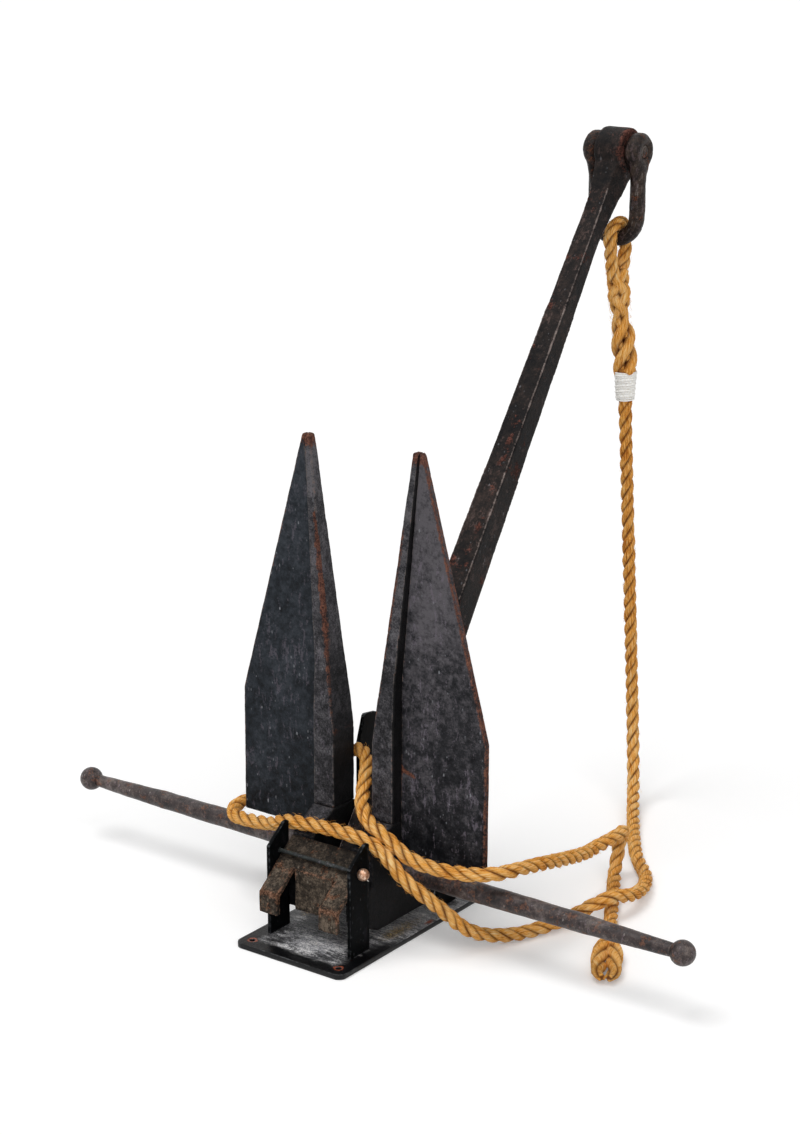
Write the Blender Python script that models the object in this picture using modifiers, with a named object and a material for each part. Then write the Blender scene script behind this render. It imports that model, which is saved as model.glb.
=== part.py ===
# A pivoting-fluke anchor on its display stand, with a rope on its shackle. Metres, +Z up.
# X runs along the stock, the flukes stand upright and the shank leans back towards +Y.
# The origin is the centre of the base plate's underside.
import math

import bmesh
import bpy
from mathutils import Matrix, Vector

# Driving dimensions
CLEAR = 0.0003              # gap that touching pieces keep
STOCK_HEIGHT = 0.0852       # stock axis above the floor
STOCK_REACH = 0.460         # from the middle to each ball's centre
STOCK_RADIUS = 0.0132
STOCK_END_RADIUS = 0.0082
BALL_RADIUS = 0.0155

BASE_SIZE = (0.1652, 0.306, 0.007)
BASE_CORNER = 0.010
SCREW_HOLE = (0.067, 0.137, 0.004)   # place along X and Y, and radius

UPRIGHT_INNER = 0.060       # inner face of each stand plate, along X
UPRIGHT_THICK = 0.0044
UPRIGHT_FRONT, UPRIGHT_BACK = -0.110, -0.072
UPRIGHT_TOP = (-0.0800, 0.0613)      # the front upright's upper front corner, above the stock axis
UPRIGHT_SLANT = 0.0384      # where the slanted edge starts, above the stock axis
UPRIGHT_NICK = 0.0014       # the corner taken off the top's inner end
REAR_FRONT, REAR_BACK = 0.072, 0.112
REAR_ROUNDS = (0.005, 0.004)         # radii at the back and at the top
REAR_TOP = (0.0865, 0.008, 0.035)    # where the top's round is, its slope and the slanted edge's drop
PROP_TOP = 0.154            # above the stock axis
PIN_PLACE = (0.090, 0.0275)          # distance from the stock axis along Y and Z
PIN_RADIUS = 0.0024
COLLAR = (0.0034, 0.0130, 0.0170)    # radius, and where it starts and ends along the pin
PIN_TAIL = 0.002            # how far the pin's plain end stands out
PIN_HEAD = (0.0080, 0.0042)          # radius, and how far its centre stands off the plate

CROWN_HALF = 0.0597         # half width of the crown plates
CROWN_THICK = 0.006
CROWN_KNEE = (0.066, 0.039)          # Y and Z of the crown plate's upper bend
WEB_BEND = (0.0992, 0.0125)
TINE_BEND = (0.131, -0.0127)
TINE_DROP, WEB_DROP = -0.0395, -0.040
WEB_HALF, TINE_INNER = 0.029, 0.0322
STOP_EDGE = 0.0021          # how far the plate runs on past its upper bend, to stop the shank

RIB_INNER, RIB_OUTER = 0.0289, 0.0615
CHEEK_DROP = 0.052          # the cheek's front edge ends this far below the stock axis
RIB_HALF_DEPTH = 0.021
RIB_FOOT = 0.066            # underside of the ribs above the stock axis
FLUKE_TIP = 0.534
BLADE_THICK = 0.009
BLADE_BOTTOM, BLADE_CORNER = 0.025, 0.190
BLADE_OUTER = 0.186
# inner and outer face of the rib and its half depth, at each height above the stock axis
RIB_SECTIONS = ((0.0289, 0.0615, 0.021, 0.0665), (0.0289, 0.0615, 0.021, 0.165),
                (0.0335, 0.0615, 0.021, 0.200), (0.0401, 0.0615, 0.0184, 0.250),
                (0.0768, 0.0860, 0.0055, 0.534))
RIB_BEND = 0.250            # above here the rib slopes outwards to the tip
TIP_CUT = ((0.0905, 0.531), (0.0885, 0.534))    # the blade's corner at the tip
STOCK_SECTIONS = ((0.0124, 0.225), (0.0116, 0.330), (0.0098, 0.400))    # radius and distance from the middle
STOCK_PLAIN = 0.150         # the stock keeps its full radius this far from the middle
FLUKE_LEAN = math.radians(0.5)

SHANK_LEAN = math.radians(34.6)
SHANK_LENGTH = 1.000        # stock axis to shackle pin
SHANK_FOOT = (0.0431, 0.058)         # width and depth at the stock
# half width, depth in front of and behind the pin line, and distance below the pin
SHANK_NECK = ((0.0137, 0.0100, 0.0137, 0.130), (0.0133, 0.0098, 0.0190, 0.095),
              (0.0138, 0.0110, 0.0235, 0.068), (0.0160, 0.0140, 0.0262, 0.045),
              (0.0185, 0.0200, 0.0280, 0.012))
STOCK_SLACK = 0.0005        # the hub's bore is this much wider than the stock's radius
SHANK_OFFSET = -0.0021      # the bar's middle line behind the line between its two pins
BOSS_RADIUS, BOSS_HALF = 0.030, 0.0205
SHACKLE_PIN_RADIUS = 0.0085
EYE_RADIUS, EYE_THICK = 0.0245, 0.0235
EYE_ROUND = 0.0065          # how far the eye's rims are rounded off
EYE_BITE = 0.010            # the bar's ends start this far below the pin
PIN_PROUD = 0.0005          # how far the shackle pin stands out of the eyes
PIN_CHAMFER = 0.0015
# radius of the neck at each distance below the pin
NECK = ((0.0200, 0.0100), (0.0175, 0.0240), (0.0142, 0.0370), (0.0118, 0.0500), (0.0108, 0.0600))
NECK_FLAT = 0.60            # the neck is this much thinner across the shackle than along it
BOW_RADIUS = 0.0110         # half the shackle's bar thickness
BOW_SPREAD = 0.0325         # from the middle to each leg's centre
BOW_DROP = 0.1180           # pin to the bow's lowest centre

ROPE_RADIUS = 0.009
SPLICE_RADIUS = 0.016
WHIPPING_LENGTH = 0.040
WHIPPING_RADII = (0.0156, 0.0128)    # at its top and its bottom
ROPE_STEP = 0.046           # spacing of the rope's points, about 2.5 diameters

OUTWARD = Matrix(((0, 0, 1, 0), (1, 0, 0, 0), (0, 1, 0, 0), (0, 0, 0, 1)))   # outline drawn in Y and Z
UPWARD = Matrix(((1, 0, 0, 0), (0, 0, -1, 0), (0, 1, 0, 0), (0, 0, 0, 1)))   # outline drawn in X and Z
ALONG_X = Matrix.Rotation(math.pi / 2, 4, "Y")                                # turned about X


def clear_scene():
    for obj in list(bpy.data.objects):
        bpy.data.objects.remove(obj, do_unlink=True)


def new_collection(name):
    coll = bpy.data.collections.new(name)
    bpy.context.scene.collection.children.link(coll)
    return coll


def finish_material(name, colour, roughness, metallic):
    mat = bpy.data.materials.new(name)
    mat.use_nodes = True
    shader = mat.node_tree.nodes["Principled BSDF"]
    shader.inputs["Base Color"].default_value = (*colour, 1)
    shader.inputs["Roughness"].default_value = roughness
    shader.inputs["Metallic"].default_value = metallic
    return mat


def place(x, y, z):
    return Matrix.Translation((x, y, z))


def add_object(name, data, mat, matrix=None, cutter=False):
    obj = bpy.data.objects.new(name, data)
    (cutters if cutter else parts).objects.link(obj)
    if matrix is not None:
        obj.matrix_world = matrix
    if cutter:
        obj.hide_render = True
        obj.display_type = "WIRE"
    else:
        data.materials.append(mat)
    return obj


def mesh_of(obj, name):
    # the evaluated object as one welded mesh, in place of the curve or the modifiers it came from
    bpy.context.view_layer.update()
    shape = obj.evaluated_get(bpy.context.evaluated_depsgraph_get())
    mesh = bpy.data.meshes.new_from_object(shape)
    mesh.name = name
    bm = bmesh.new()
    bm.from_mesh(mesh)
    bmesh.ops.remove_doubles(bm, verts=bm.verts, dist=0.00001)
    bm.to_mesh(mesh)
    bm.free()
    mesh.materials.clear()
    matrix = obj.matrix_world.copy()
    bpy.data.objects.remove(obj, do_unlink=True)
    return mesh, matrix


def outline_solid(name, points, thickness, mat, matrix, cutter=False):
    curve = bpy.data.curves.new(name, "CURVE")
    curve.dimensions = "2D"
    curve.fill_mode = "BOTH"
    curve.extrude = thickness / 2
    spline = curve.splines.new("POLY")
    spline.points.add(len(points) - 1)
    for point, (u, v) in zip(spline.points, points):
        point.co = (u, v, 0, 1)
    spline.use_cyclic_u = True
    guide = bpy.data.objects.new(name + "_outline", curve)
    cutters.objects.link(guide)
    mesh, _ = mesh_of(guide, name)
    return add_object(name, mesh, mat, matrix, cutter)


def turned_solid(name, profile, mat, matrix, steps=32, cutter=False):
    # profile: (radius, height) from the top of the axis round to the bottom of it
    mesh = bpy.data.meshes.new(name + "_profile")
    mesh.from_pydata([(r, 0, h) for r, h in profile], [(i, i + 1) for i in range(len(profile) - 1)], [])
    guide = bpy.data.objects.new(name + "_guide", mesh)
    cutters.objects.link(guide)
    screw = guide.modifiers.new("turn", "SCREW")
    screw.steps = screw.render_steps = steps
    screw.use_merge_vertices = True
    screw.merge_threshold = 0.00002
    solid, _ = mesh_of(guide, name)
    obj = add_object(name, solid, mat, matrix, cutter)
    shade(solid)
    return obj


def shade(mesh, angle=40):
    mesh.shade_smooth()
    mesh.set_sharp_from_angle(angle=math.radians(angle))


def cylinder_profile(radius, half_length, chamfer=0.0):
    top = [(0, half_length)]
    top += [(radius - chamfer, half_length)] if chamfer else []
    side = [(radius, half_length - chamfer), (radius, chamfer - half_length)]
    bottom = [(radius - chamfer, -half_length)] if chamfer else []
    return top + side + bottom + [(0, -half_length)]


def loft_solid(name, sections, mat, matrix=None, cutter=False):
    # sections: (x low, x high, y low, y high, z) rectangles from bottom to top
    bm = bmesh.new()
    rings = []
    for x0, x1, y0, y1, z in sections:
        rings.append([bm.verts.new(p) for p in ((x0, y0, z), (x1, y0, z), (x1, y1, z), (x0, y1, z))])
    for low, high in zip(rings, rings[1:]):
        for i in range(4):
            j = (i + 1) % 4
            bm.faces.new((low[i], low[j], high[j], high[i]))
    bm.faces.new(reversed(rings[0]))
    bm.faces.new(rings[-1])
    bmesh.ops.recalc_face_normals(bm, faces=bm.faces)
    mesh = bpy.data.meshes.new(name)
    bm.to_mesh(mesh)
    bm.free()
    return add_object(name, mesh, mat, matrix, cutter)


def soften(obj, width, segments=1, angle=35):
    bevel = obj.modifiers.new("soft edges", "BEVEL")
    bevel.width = width
    bevel.segments = segments
    bevel.limit_method = "ANGLE"
    bevel.angle_limit = math.radians(angle)
    return obj


def join_or_cut(obj, tool, operation):
    boolean = obj.modifiers.new(tool.name, "BOOLEAN")
    boolean.operation = operation
    boolean.object = tool
    boolean.solver = "EXACT"


def tube(name, points, radius, mat, resolution=3, cutter=False):
    curve = bpy.data.curves.new(name, "CURVE")
    curve.dimensions = "3D"
    curve.bevel_depth = radius
    curve.bevel_resolution = resolution
    curve.use_fill_caps = True
    spline = curve.splines.new("POLY")
    spline.points.add(len(points) - 1)
    for point, co in zip(spline.points, points):
        point.co = (*co, 1)
    spline.use_smooth = True
    if cutter:
        guide = bpy.data.objects.new(name + "_line", curve)
        cutters.objects.link(guide)
        mesh, _ = mesh_of(guide, name)
        return add_object(name, mesh, mat, None, True)
    return add_object(name, curve, mat)


def smooth_route(points, step):
    # a curve through the points, sampled at even steps
    pts = [Vector(p) for p in points]
    pts = [2 * pts[0] - pts[1]] + pts + [2 * pts[-1] - pts[-2]]
    fine = []
    for a, b, c, d in zip(pts, pts[1:], pts[2:], pts[3:]):
        t1 = (b - a).length ** 0.5
        t2 = t1 + (c - b).length ** 0.5
        t3 = t2 + (d - c).length ** 0.5
        for k in range(24):
            t = t1 + (t2 - t1) * k / 24
            ab = a.lerp(b, t / t1)
            bc = b.lerp(c, (t - t1) / (t2 - t1))
            cd = c.lerp(d, (t - t2) / (t3 - t2))
            fine.append(ab.lerp(bc, t / t2).lerp(bc.lerp(cd, (t - t1) / (t3 - t1)), (t - t1) / (t2 - t1)))
    fine.append(pts[-2])
    total = sum((q - p).length for p, q in zip(fine, fine[1:]))
    count = max(2, round(total / step))
    out, gone, wanted = [fine[0]], 0.0, total / count
    for p, q in zip(fine, fine[1:]):
        length = (q - p).length
        while len(out) < count and gone + length >= wanted * len(out):
            out.append(p.lerp(q, (wanted * len(out) - gone) / length))
        gone += length
    out.append(fine[-1])
    return out


def arc(cx, cy, radius, start, end, steps):
    angles = [math.radians(start + (end - start) * i / steps) for i in range(steps + 1)]
    return [(cx + radius * math.cos(a), cy + radius * math.sin(a)) for a in angles]


def rounded_rectangle(width, length, radius):
    u, v = width / 2 - radius, length / 2 - radius
    corners = (arc(u, v, radius, 0, 90, 6) + arc(-u, v, radius, 90, 180, 6)
               + arc(-u, -v, radius, 180, 270, 6) + arc(u, -v, radius, 270, 360, 6))
    return corners


def base_plate():
    width, length, thick = BASE_SIZE
    plate = outline_solid("base_plate", rounded_rectangle(width, length, BASE_CORNER), thick, standPaint,
                          place(0, 0, thick / 2))
    x, y, radius = SCREW_HOLE
    for i, (sx, sy) in enumerate(((-1, -1), (1, -1), (-1, 1), (1, 1))):
        drill = turned_solid(f"screw_hole_{i}", cylinder_profile(radius, thick), None,
                             place(sx * x, sy * y, thick / 2), 20, True)
        join_or_cut(plate, drill, "DIFFERENCE")
    soften(plate, 0.0008)


def stand_plates():
    low = BASE_SIZE[2] + CLEAR
    crest_y, crest = UPRIGHT_TOP[0], STOCK_HEIGHT + UPRIGHT_TOP[1]
    front = [(UPRIGHT_FRONT, low), (UPRIGHT_BACK, low), (UPRIGHT_BACK, crest - UPRIGHT_NICK)]
    front += [(UPRIGHT_BACK - UPRIGHT_NICK, crest), (crest_y, crest)]
    front.append((UPRIGHT_FRONT, STOCK_HEIGHT + UPRIGHT_SLANT))
    top = STOCK_HEIGHT + PROP_TOP
    large, small = REAR_ROUNDS
    round_y, fall, slant = REAR_TOP
    back = [(REAR_FRONT, low), (REAR_BACK, low), (REAR_BACK, top - fall - small)]
    back += arc(REAR_BACK - large, top - fall, large, 10, 90, 4)
    back += arc(round_y, top - small, small, 90, 165, 4) + [(REAR_FRONT, top - slant)]
    for side, sign in (("left", -1), ("right", 1)):
        centre = sign * (UPRIGHT_INNER + UPRIGHT_THICK / 2)
        for name, outline, pin_y in ((f"front_upright_{side}", front, -PIN_PLACE[0]),
                                     (f"rear_upright_{side}", back, PIN_PLACE[0])):
            plate = outline_solid(name, outline, UPRIGHT_THICK, standPaint, place(centre, 0, 0) @ OUTWARD)
            drill = turned_solid(name + "_hole", cylinder_profile(PIN_RADIUS + CLEAR, UPRIGHT_THICK), None,
                                 place(centre, pin_y, STOCK_HEIGHT + PIN_PLACE[1]) @ ALONG_X, 16, True)
            join_or_cut(plate, drill, "DIFFERENCE")


def stand_pins():
    # a thin rod through each pair of uprights, over the crown plate, with a domed copper head on the right
    outer = UPRIGHT_INNER + UPRIGHT_THICK
    radius, off = PIN_HEAD
    widest = math.degrees(math.acos(-off / radius))
    dome = [(0, off + radius)] + [(radius * math.sin(a), off + radius * math.cos(a))
                                  for a in (math.radians(widest * i / 8) for i in range(1, 9))] + [(0, 0)]
    for place_name, y in (("front", -PIN_PLACE[0]), ("rear", PIN_PLACE[0])):
        z = STOCK_HEIGHT + PIN_PLACE[1]
        wide, near, far = COLLAR
        rod = [(0, outer), (PIN_RADIUS, outer), (PIN_RADIUS, far), (wide, far), (wide, near)]
        rod += [(PIN_RADIUS, near), (PIN_RADIUS, -outer - PIN_TAIL), (0, -outer - PIN_TAIL)]
        turned_solid(f"{place_name}_pin", rod, blackSteel, place(0, y, z) @ ALONG_X, 16)
        turned_solid(f"{place_name}_pin_head", dome, copper, place(outer + CLEAR, y, z) @ ALONG_X, 24)
    tail = PIN_PLACE[1] + STOCK_HEIGHT
    tube("cotter_tip", [(outer + 0.0013, -PIN_PLACE[0] + 0.0066, tail - 0.0066),
                        (outer + 0.0018, -PIN_PLACE[0] + 0.0139, tail - 0.0139)], 0.0009, brightSteel, 2)


def crown_plate(name, sign):
    # a bent plate across the crown: its middle turns down as a web, its ends run on as tines with bent lips
    knee_y, knee_z = CROWN_KNEE
    slope = Vector((RIB_HALF_DEPTH - knee_y, RIB_FOOT - knee_z)).normalized() * STOP_EDGE
    upper = (knee_y + slope[0], knee_z + slope[1])
    rows = [upper, CROWN_KNEE, WEB_BEND, TINE_BEND, (TINE_BEND[0], TINE_DROP)]
    columns = (-CROWN_HALF, -TINE_INNER, -WEB_HALF, WEB_HALF, TINE_INNER, CROWN_HALF)
    bm = bmesh.new()
    grid = [[bm.verts.new((x, sign * y, STOCK_HEIGHT + z)) for x in columns] for y, z in rows]
    cells = [(r, c) for r in (0, 1) for c in range(5)] + [(r, c) for r in (2, 3) for c in (0, 4)]
    for r, c in cells:
        bm.faces.new((grid[r][c], grid[r][c + 1], grid[r + 1][c + 1], grid[r + 1][c]))
    web = [bm.verts.new((x, sign * WEB_BEND[0], STOCK_HEIGHT + WEB_DROP)) for x in (-WEB_HALF, WEB_HALF)]
    bm.faces.new((grid[2][2], grid[2][3], web[1], web[0]))
    bmesh.ops.delete(bm, geom=[v for v in bm.verts if not v.link_faces], context="VERTS")
    bmesh.ops.recalc_face_normals(bm, faces=bm.faces)
    bm.faces.ensure_lookup_table()
    if bm.faces[0].normal.z < 0:
        bmesh.ops.reverse_faces(bm, faces=bm.faces)
    mesh = bpy.data.meshes.new(name)
    bm.to_mesh(mesh)
    bm.free()
    obj = add_object(name, mesh, anchorPaint)
    thick = obj.modifiers.new("thickness", "SOLIDIFY")
    thick.thickness = CROWN_THICK
    thick.offset = -1
    thick.use_even_offset = True


def crown_cheeks():
    # the block at each rib's foot that holds the stock and carries both crown plates
    knee_y, knee_z = CROWN_KNEE
    reach = knee_y - CROWN_THICK * 0.85
    half = [(RIB_HALF_DEPTH, STOCK_HEIGHT + RIB_FOOT), (reach, STOCK_HEIGHT + knee_z + 0.003),
            (reach, STOCK_HEIGHT - CHEEK_DROP), (reach - 0.012, STOCK_HEIGHT - CHEEK_DROP - 0.010)]
    outline = half + [(-y, z) for y, z in reversed(half)]
    width = RIB_OUTER - RIB_INNER
    for side, sign in (("left", -1), ("right", 1)):
        centre = sign * (RIB_INNER + RIB_OUTER) / 2
        cheek = outline_solid(f"crown_cheek_{side}", outline, width, anchorPaint,
                              place(centre, 0, 0) @ OUTWARD)
        drill = turned_solid(f"cheek_bore_{side}", cylinder_profile(STOCK_RADIUS + CLEAR, width), None,
                             place(centre, 0, STOCK_HEIGHT) @ ALONG_X, 32, True)
        join_or_cut(cheek, drill, "DIFFERENCE")


def flukes():
    lean = place(0, 0, STOCK_HEIGHT) @ Matrix.Rotation(-FLUKE_LEAN, 4, "X")
    blade = [(RIB_OUTER + CLEAR, BLADE_BOTTOM), (BLADE_OUTER, BLADE_BOTTOM), (BLADE_OUTER, BLADE_CORNER)]
    blade += [*TIP_CUT, (RIB_SECTIONS[-1][1] + CLEAR, FLUKE_TIP), (RIB_OUTER + CLEAR, RIB_BEND)]
    for side, sign in (("left", -1), ("right", 1)):
        sections = []
        for inner, outer, half, z in RIB_SECTIONS:
            x0, x1 = sorted((sign * inner, sign * outer))
            sections.append((x0, x1, -half, half, z))
        soften(loft_solid(f"fluke_rib_{side}", sections, anchorPaint, lean), 0.0015)
        points = [(sign * x, z) for x, z in blade]
        soften(outline_solid(f"fluke_blade_{side}", points, BLADE_THICK, anchorPaint, lean @ UPWARD), 0.0012)


def stock():
    shoulder = STOCK_REACH - math.sqrt(BALL_RADIUS ** 2 - STOCK_END_RADIUS ** 2)
    half = [(STOCK_RADIUS, STOCK_PLAIN), *STOCK_SECTIONS, (STOCK_END_RADIUS, shoulder)]
    profile = [(0, shoulder)] + list(reversed(half)) + [(r, -x) for r, x in half] + [(0, -shoulder)]
    turned_solid("stock_rod", profile, rustyIron, place(0, 0, STOCK_HEIGHT) @ ALONG_X, 32)
    start = math.asin(STOCK_END_RADIUS / BALL_RADIUS)
    swing = [start + (math.pi - start) * i / 12 for i in range(13)]
    centre = STOCK_REACH - shoulder + CLEAR
    ball = [(0, CLEAR)] + [(BALL_RADIUS * math.sin(a), centre - BALL_RADIUS * math.cos(a)) for a in swing]
    ball[-1] = (0, ball[-1][1])
    for side, sign in (("left", -1), ("right", 1)):
        turn = ALONG_X if sign > 0 else Matrix.Rotation(-math.pi / 2, 4, "Y")
        turned_solid(f"stock_ball_{side}", list(reversed(ball)), rustyIron,
                     place(sign * shoulder, 0, STOCK_HEIGHT) @ turn, 28)


def shank():
    tilt = place(0, 0, STOCK_HEIGHT) @ Matrix.Rotation(-SHANK_LEAN, 4, "X")
    wide, deep = SHANK_FOOT[0] / 2, SHANK_FOOT[1] / 2
    back = -SHANK_OFFSET
    sections = [(-wide, wide, back - deep, back + deep, 0)]
    sections += [(-half, half, -fore, aft, SHANK_LENGTH - drop) for half, fore, aft, drop in SHANK_NECK]
    bar = loft_solid("shank", sections, anchorPaint, tilt)
    hub = turned_solid("shank_hub", cylinder_profile(deep, wide), None,
                       tilt @ place(0, back, 0) @ ALONG_X, 40, True)
    boss = turned_solid("shank_boss", cylinder_profile(BOSS_RADIUS, BOSS_HALF, 0.002), None,
                        tilt @ place(0, 0, SHANK_LENGTH) @ ALONG_X, 40, True)
    for tool in (hub, boss):
        join_or_cut(bar, tool, "UNION")
    for name, radius, z in (("stock_bore", STOCK_RADIUS + STOCK_SLACK, 0),
                            ("pin_bore", SHACKLE_PIN_RADIUS + CLEAR, SHANK_LENGTH)):
        drill = turned_solid(name, cylinder_profile(radius, SHANK_FOOT[0]), None,
                             tilt @ place(0, 0, z) @ ALONG_X, 32, True)
        join_or_cut(bar, drill, "DIFFERENCE")
    return tilt @ Vector((0, 0, SHANK_LENGTH))


def shackle(pin):
    bend = pin.z - BOW_DROP + BOW_SPREAD
    round_part = [(x, pin.y, z) for x, z in arc(0, bend, BOW_SPREAD, 0, -180, 14)]
    line = [(BOW_SPREAD, pin.y, pin.z - EYE_BITE)] + round_part + [(-BOW_SPREAD, pin.y, pin.z - EYE_BITE)]
    bow = tube("shackle_bar", line, BOW_RADIUS, None, 4, True)
    body = None
    for side, sign in (("left", -1), ("right", 1)):
        centre_x = BOSS_HALF + CLEAR + EYE_THICK / 2
        eye = turned_solid("shackle" if body is None else f"shackle_eye_{side}",
                           cylinder_profile(EYE_RADIUS, EYE_THICK / 2, EYE_ROUND), ironDark,
                           place(sign * centre_x, pin.y, pin.z) @ ALONG_X, 32, body is not None)
        if body is None:
            body = eye
            join_or_cut(body, bow, "UNION")
        else:
            join_or_cut(body, eye, "UNION")
        profile = [(0, -NECK[0][1])] + [(r, -d) for r, d in NECK] + [(0, -NECK[-1][1])]
        middle = place(sign * (centre_x + BOW_SPREAD) / 2, pin.y, pin.z)
        neck = turned_solid(f"shackle_neck_{side}", profile, None,
                            middle @ Matrix.Diagonal((NECK_FLAT, 1, 1, 1)), 32, True)
        join_or_cut(body, neck, "UNION")
    outer = BOSS_HALF + CLEAR + EYE_THICK
    drill = turned_solid("shackle_bore", cylinder_profile(SHACKLE_PIN_RADIUS + CLEAR, outer * 1.3), None,
                         place(0, pin.y, pin.z) @ ALONG_X, 32, True)
    join_or_cut(body, drill, "DIFFERENCE")
    turned_solid("shackle_pin", cylinder_profile(SHACKLE_PIN_RADIUS, outer + PIN_PROUD, PIN_CHAMFER),
                 ironDark, place(0, pin.y, pin.z) @ ALONG_X, 32)


# The rope's route, from the whipping down to the floor, round the anchor and back to its spliced end
ROPE_ROUTE = (
    (0.021, 0.568, 0.571), (0.049, 0.565, 0.115), (0.074, 0.530, 0.036),
    (0.112, 0.468, 0.0128), (0.180, 0.364, 0.010), (0.232, 0.302, 0.010),
    (0.257, 0.230, 0.022), (0.250, 0.180, 0.0325), (0.216, 0.128, 0.013),
    (0.186, 0.055, 0.0118), (0.160, 0.008, 0.027), (0.136, -0.027, 0.065),
    (0.103, -0.0535, 0.103), (0.0645, -0.0628, 0.1403), (-0.064, -0.062, 0.140),
    (-0.108, -0.050, 0.1225), (-0.1835, -0.030, 0.110), (-0.2035, 0.004, 0.109),
    (-0.187, 0.037, 0.112), (-0.152, 0.046, 0.126), (-0.095, 0.042, 0.176),
    (-0.040, 0.040, 0.210), (-0.015, 0.0275, 0.209), (0.005, -0.001, 0.193),
    (0.019, -0.0265, 0.174), (0.042, -0.044, 0.160), (0.074, -0.0520, 0.1505),
    (0.107, -0.042, 0.125), (0.160, -0.030, 0.118), (0.205, -0.012, 0.121),
    (0.221, 0.040, 0.117), (0.212, 0.176, 0.084), (0.203, 0.2195, 0.0752),
    (0.2021, 0.289, 0.0724), (0.1902, 0.3075, 0.0633), (0.1832, 0.3137, 0.0414),
    (0.1853, 0.3039, 0.0195), (0.1952, 0.284, 0.0104), (0.2246, 0.2324, 0.010),
    (0.293, 0.112, 0.0094),
)
END_LENGTH, END_HALF = 0.104, 0.0175 # the doubled end's length and half width
END_NECK = (0.010, 0.014)            # its radius where the rope runs in, and how soon it is at full width
END_FLAT = 0.58                      # its height over its width
END_CENTRE = 0.0105                  # its centre's height above the floor
EYE_SIDE = 0.004                     # the rope eye hangs this far right of the middle
EYE_SLACK = 0.0010                   # between the rope eye and the shackle's bar
EYE_LEG = (0.004, 0.026)             # how far in from the turn's side each leg is, this far below the bow
THROAT = 0.168                       # where the eye's legs meet, below the pin
SPLICE_LINE = ((0.010, 0.050), (0.017, 0.095))      # X, and distance below the throat


def straight_ends(route, lift):
    # the route with the points next to its ends set plumb above them, so that its ends are level
    first, last = route[0].copy(), route[-1].copy()
    return [first, first + Vector((0, 0, lift))] + route[2:-2] + [last + Vector((0, 0, lift)), last]


def rope(pin):
    swing = bpy.data.objects.new("shackle_axis", None)
    parts.objects.link(swing)
    swing.location = pin
    bpy.context.view_layer.update()
    bow_z = pin.z - BOW_DROP
    turn = BOW_RADIUS + ROPE_RADIUS + EYE_SLACK
    x, throat = EYE_SIDE, pin.z - THROAT
    half = [(x, pin.y + u, bow_z + v) for u, v in arc(0, 0, turn, 90, -20, 7)]
    inward, drop = EYE_LEG
    half += [(x, pin.y + turn - inward, bow_z - drop), (x, pin.y + ROPE_RADIUS + CLEAR, throat)]
    mirrored = [(x, 2 * pin.y - y, z) for x, y, z in half[1:]]
    loop = smooth_route(list(reversed(mirrored)) + half, 0.009)
    eye = tube("rope_eye", straight_ends(loop, 0.009), ROPE_RADIUS, manila, 3)
    start = Vector(ROPE_ROUTE[0])
    low = start + Vector((0, 0, WHIPPING_LENGTH))
    middle = [(side, pin.y, throat - drop) for side, drop in SPLICE_LINE]
    splice = smooth_route([(x, pin.y, throat - CLEAR), *middle, low], 0.020)
    top, bottom = splice[0].copy(), splice[-1].copy()
    splice[1:-1] = [top - Vector((0, 0, 0.010))] + splice[1:-1] + [bottom + Vector((0, 0, 0.010))]
    wrapped = tube("rope_splice", splice, SPLICE_RADIUS, manila, 4)
    wide, slim = WHIPPING_RADII
    whipping = turned_solid("rope_whipping", [(0, WHIPPING_LENGTH - CLEAR), (wide, WHIPPING_LENGTH - CLEAR),
                                              (slim, CLEAR), (0, CLEAR)], whiteTwine, place(*start), 28)
    for piece in (eye, wrapped, whipping):
        piece.parent = swing
        piece.matrix_parent_inverse = swing.matrix_world.inverted()
    run = smooth_route(ROPE_ROUTE, ROPE_STEP)
    run.insert(1, start - Vector((0, 0, 0.012)))
    tube("rope_run", run, ROPE_RADIUS, manila, 3)
    along = (run[-1] - run[-2]).normalized()
    head = run[-1] + along * CLEAR
    head.z = END_CENTRE
    turns = [math.radians(a) for a in range(15, 91, 15)]
    cap = [(END_HALF * math.sin(a), END_HALF * math.cos(a)) for a in turns]
    profile = [(0, END_LENGTH)] + [(r, END_LENGTH - END_HALF + h) for r, h in cap]
    profile += [(END_HALF, END_NECK[1]), (END_NECK[0], 0), (0, 0)]
    across = Vector((0, 0, 1)).cross(along)
    frame = Matrix((across, Vector((0, 0, 1)), along)).transposed().to_4x4()
    knob = turned_solid("rope_end", profile, manila, Matrix.Identity(4), 24)
    knob.data.transform(Matrix.Diagonal((1, END_FLAT, 1, 1)))
    knob.matrix_world = Matrix.Translation(head) @ frame


clear_scene()
parts = new_collection("anchor")
cutters = new_collection("cutters")

standPaint = finish_material("black stand paint", (0.012, 0.012, 0.013), 0.35, 0.0)
anchorPaint = finish_material("worn black anchor paint", (0.020, 0.019, 0.019), 0.55, 0.0)
rustyIron = finish_material("brown rusted iron", (0.055, 0.035, 0.027), 0.65, 0.3)
ironDark = finish_material("dark forged iron", (0.030, 0.022, 0.019), 0.55, 0.3)
blackSteel = finish_material("black steel rod", (0.03, 0.03, 0.03), 0.4, 0.5)
brightSteel = finish_material("bright steel", (0.60, 0.60, 0.58), 0.3, 1.0)
copper = finish_material("worn copper", (0.65, 0.34, 0.22), 0.35, 1.0)
manila = finish_material("manila rope", (0.52, 0.29, 0.09), 0.85, 0.0)
whiteTwine = finish_material("white twine", (0.78, 0.76, 0.70), 0.8, 0.0)

base_plate()
stand_plates()
stand_pins()
crown_plate("crown_plate_front", -1)
crown_plate("crown_plate_rear", 1)
crown_cheeks()
flukes()
stock()
shackle_axis = shank()
shackle(shackle_axis)
rope(shackle_axis)
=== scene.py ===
import math
import random

import bmesh
import bpy
import numpy as np
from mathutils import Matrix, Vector, kdtree, noise


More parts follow.
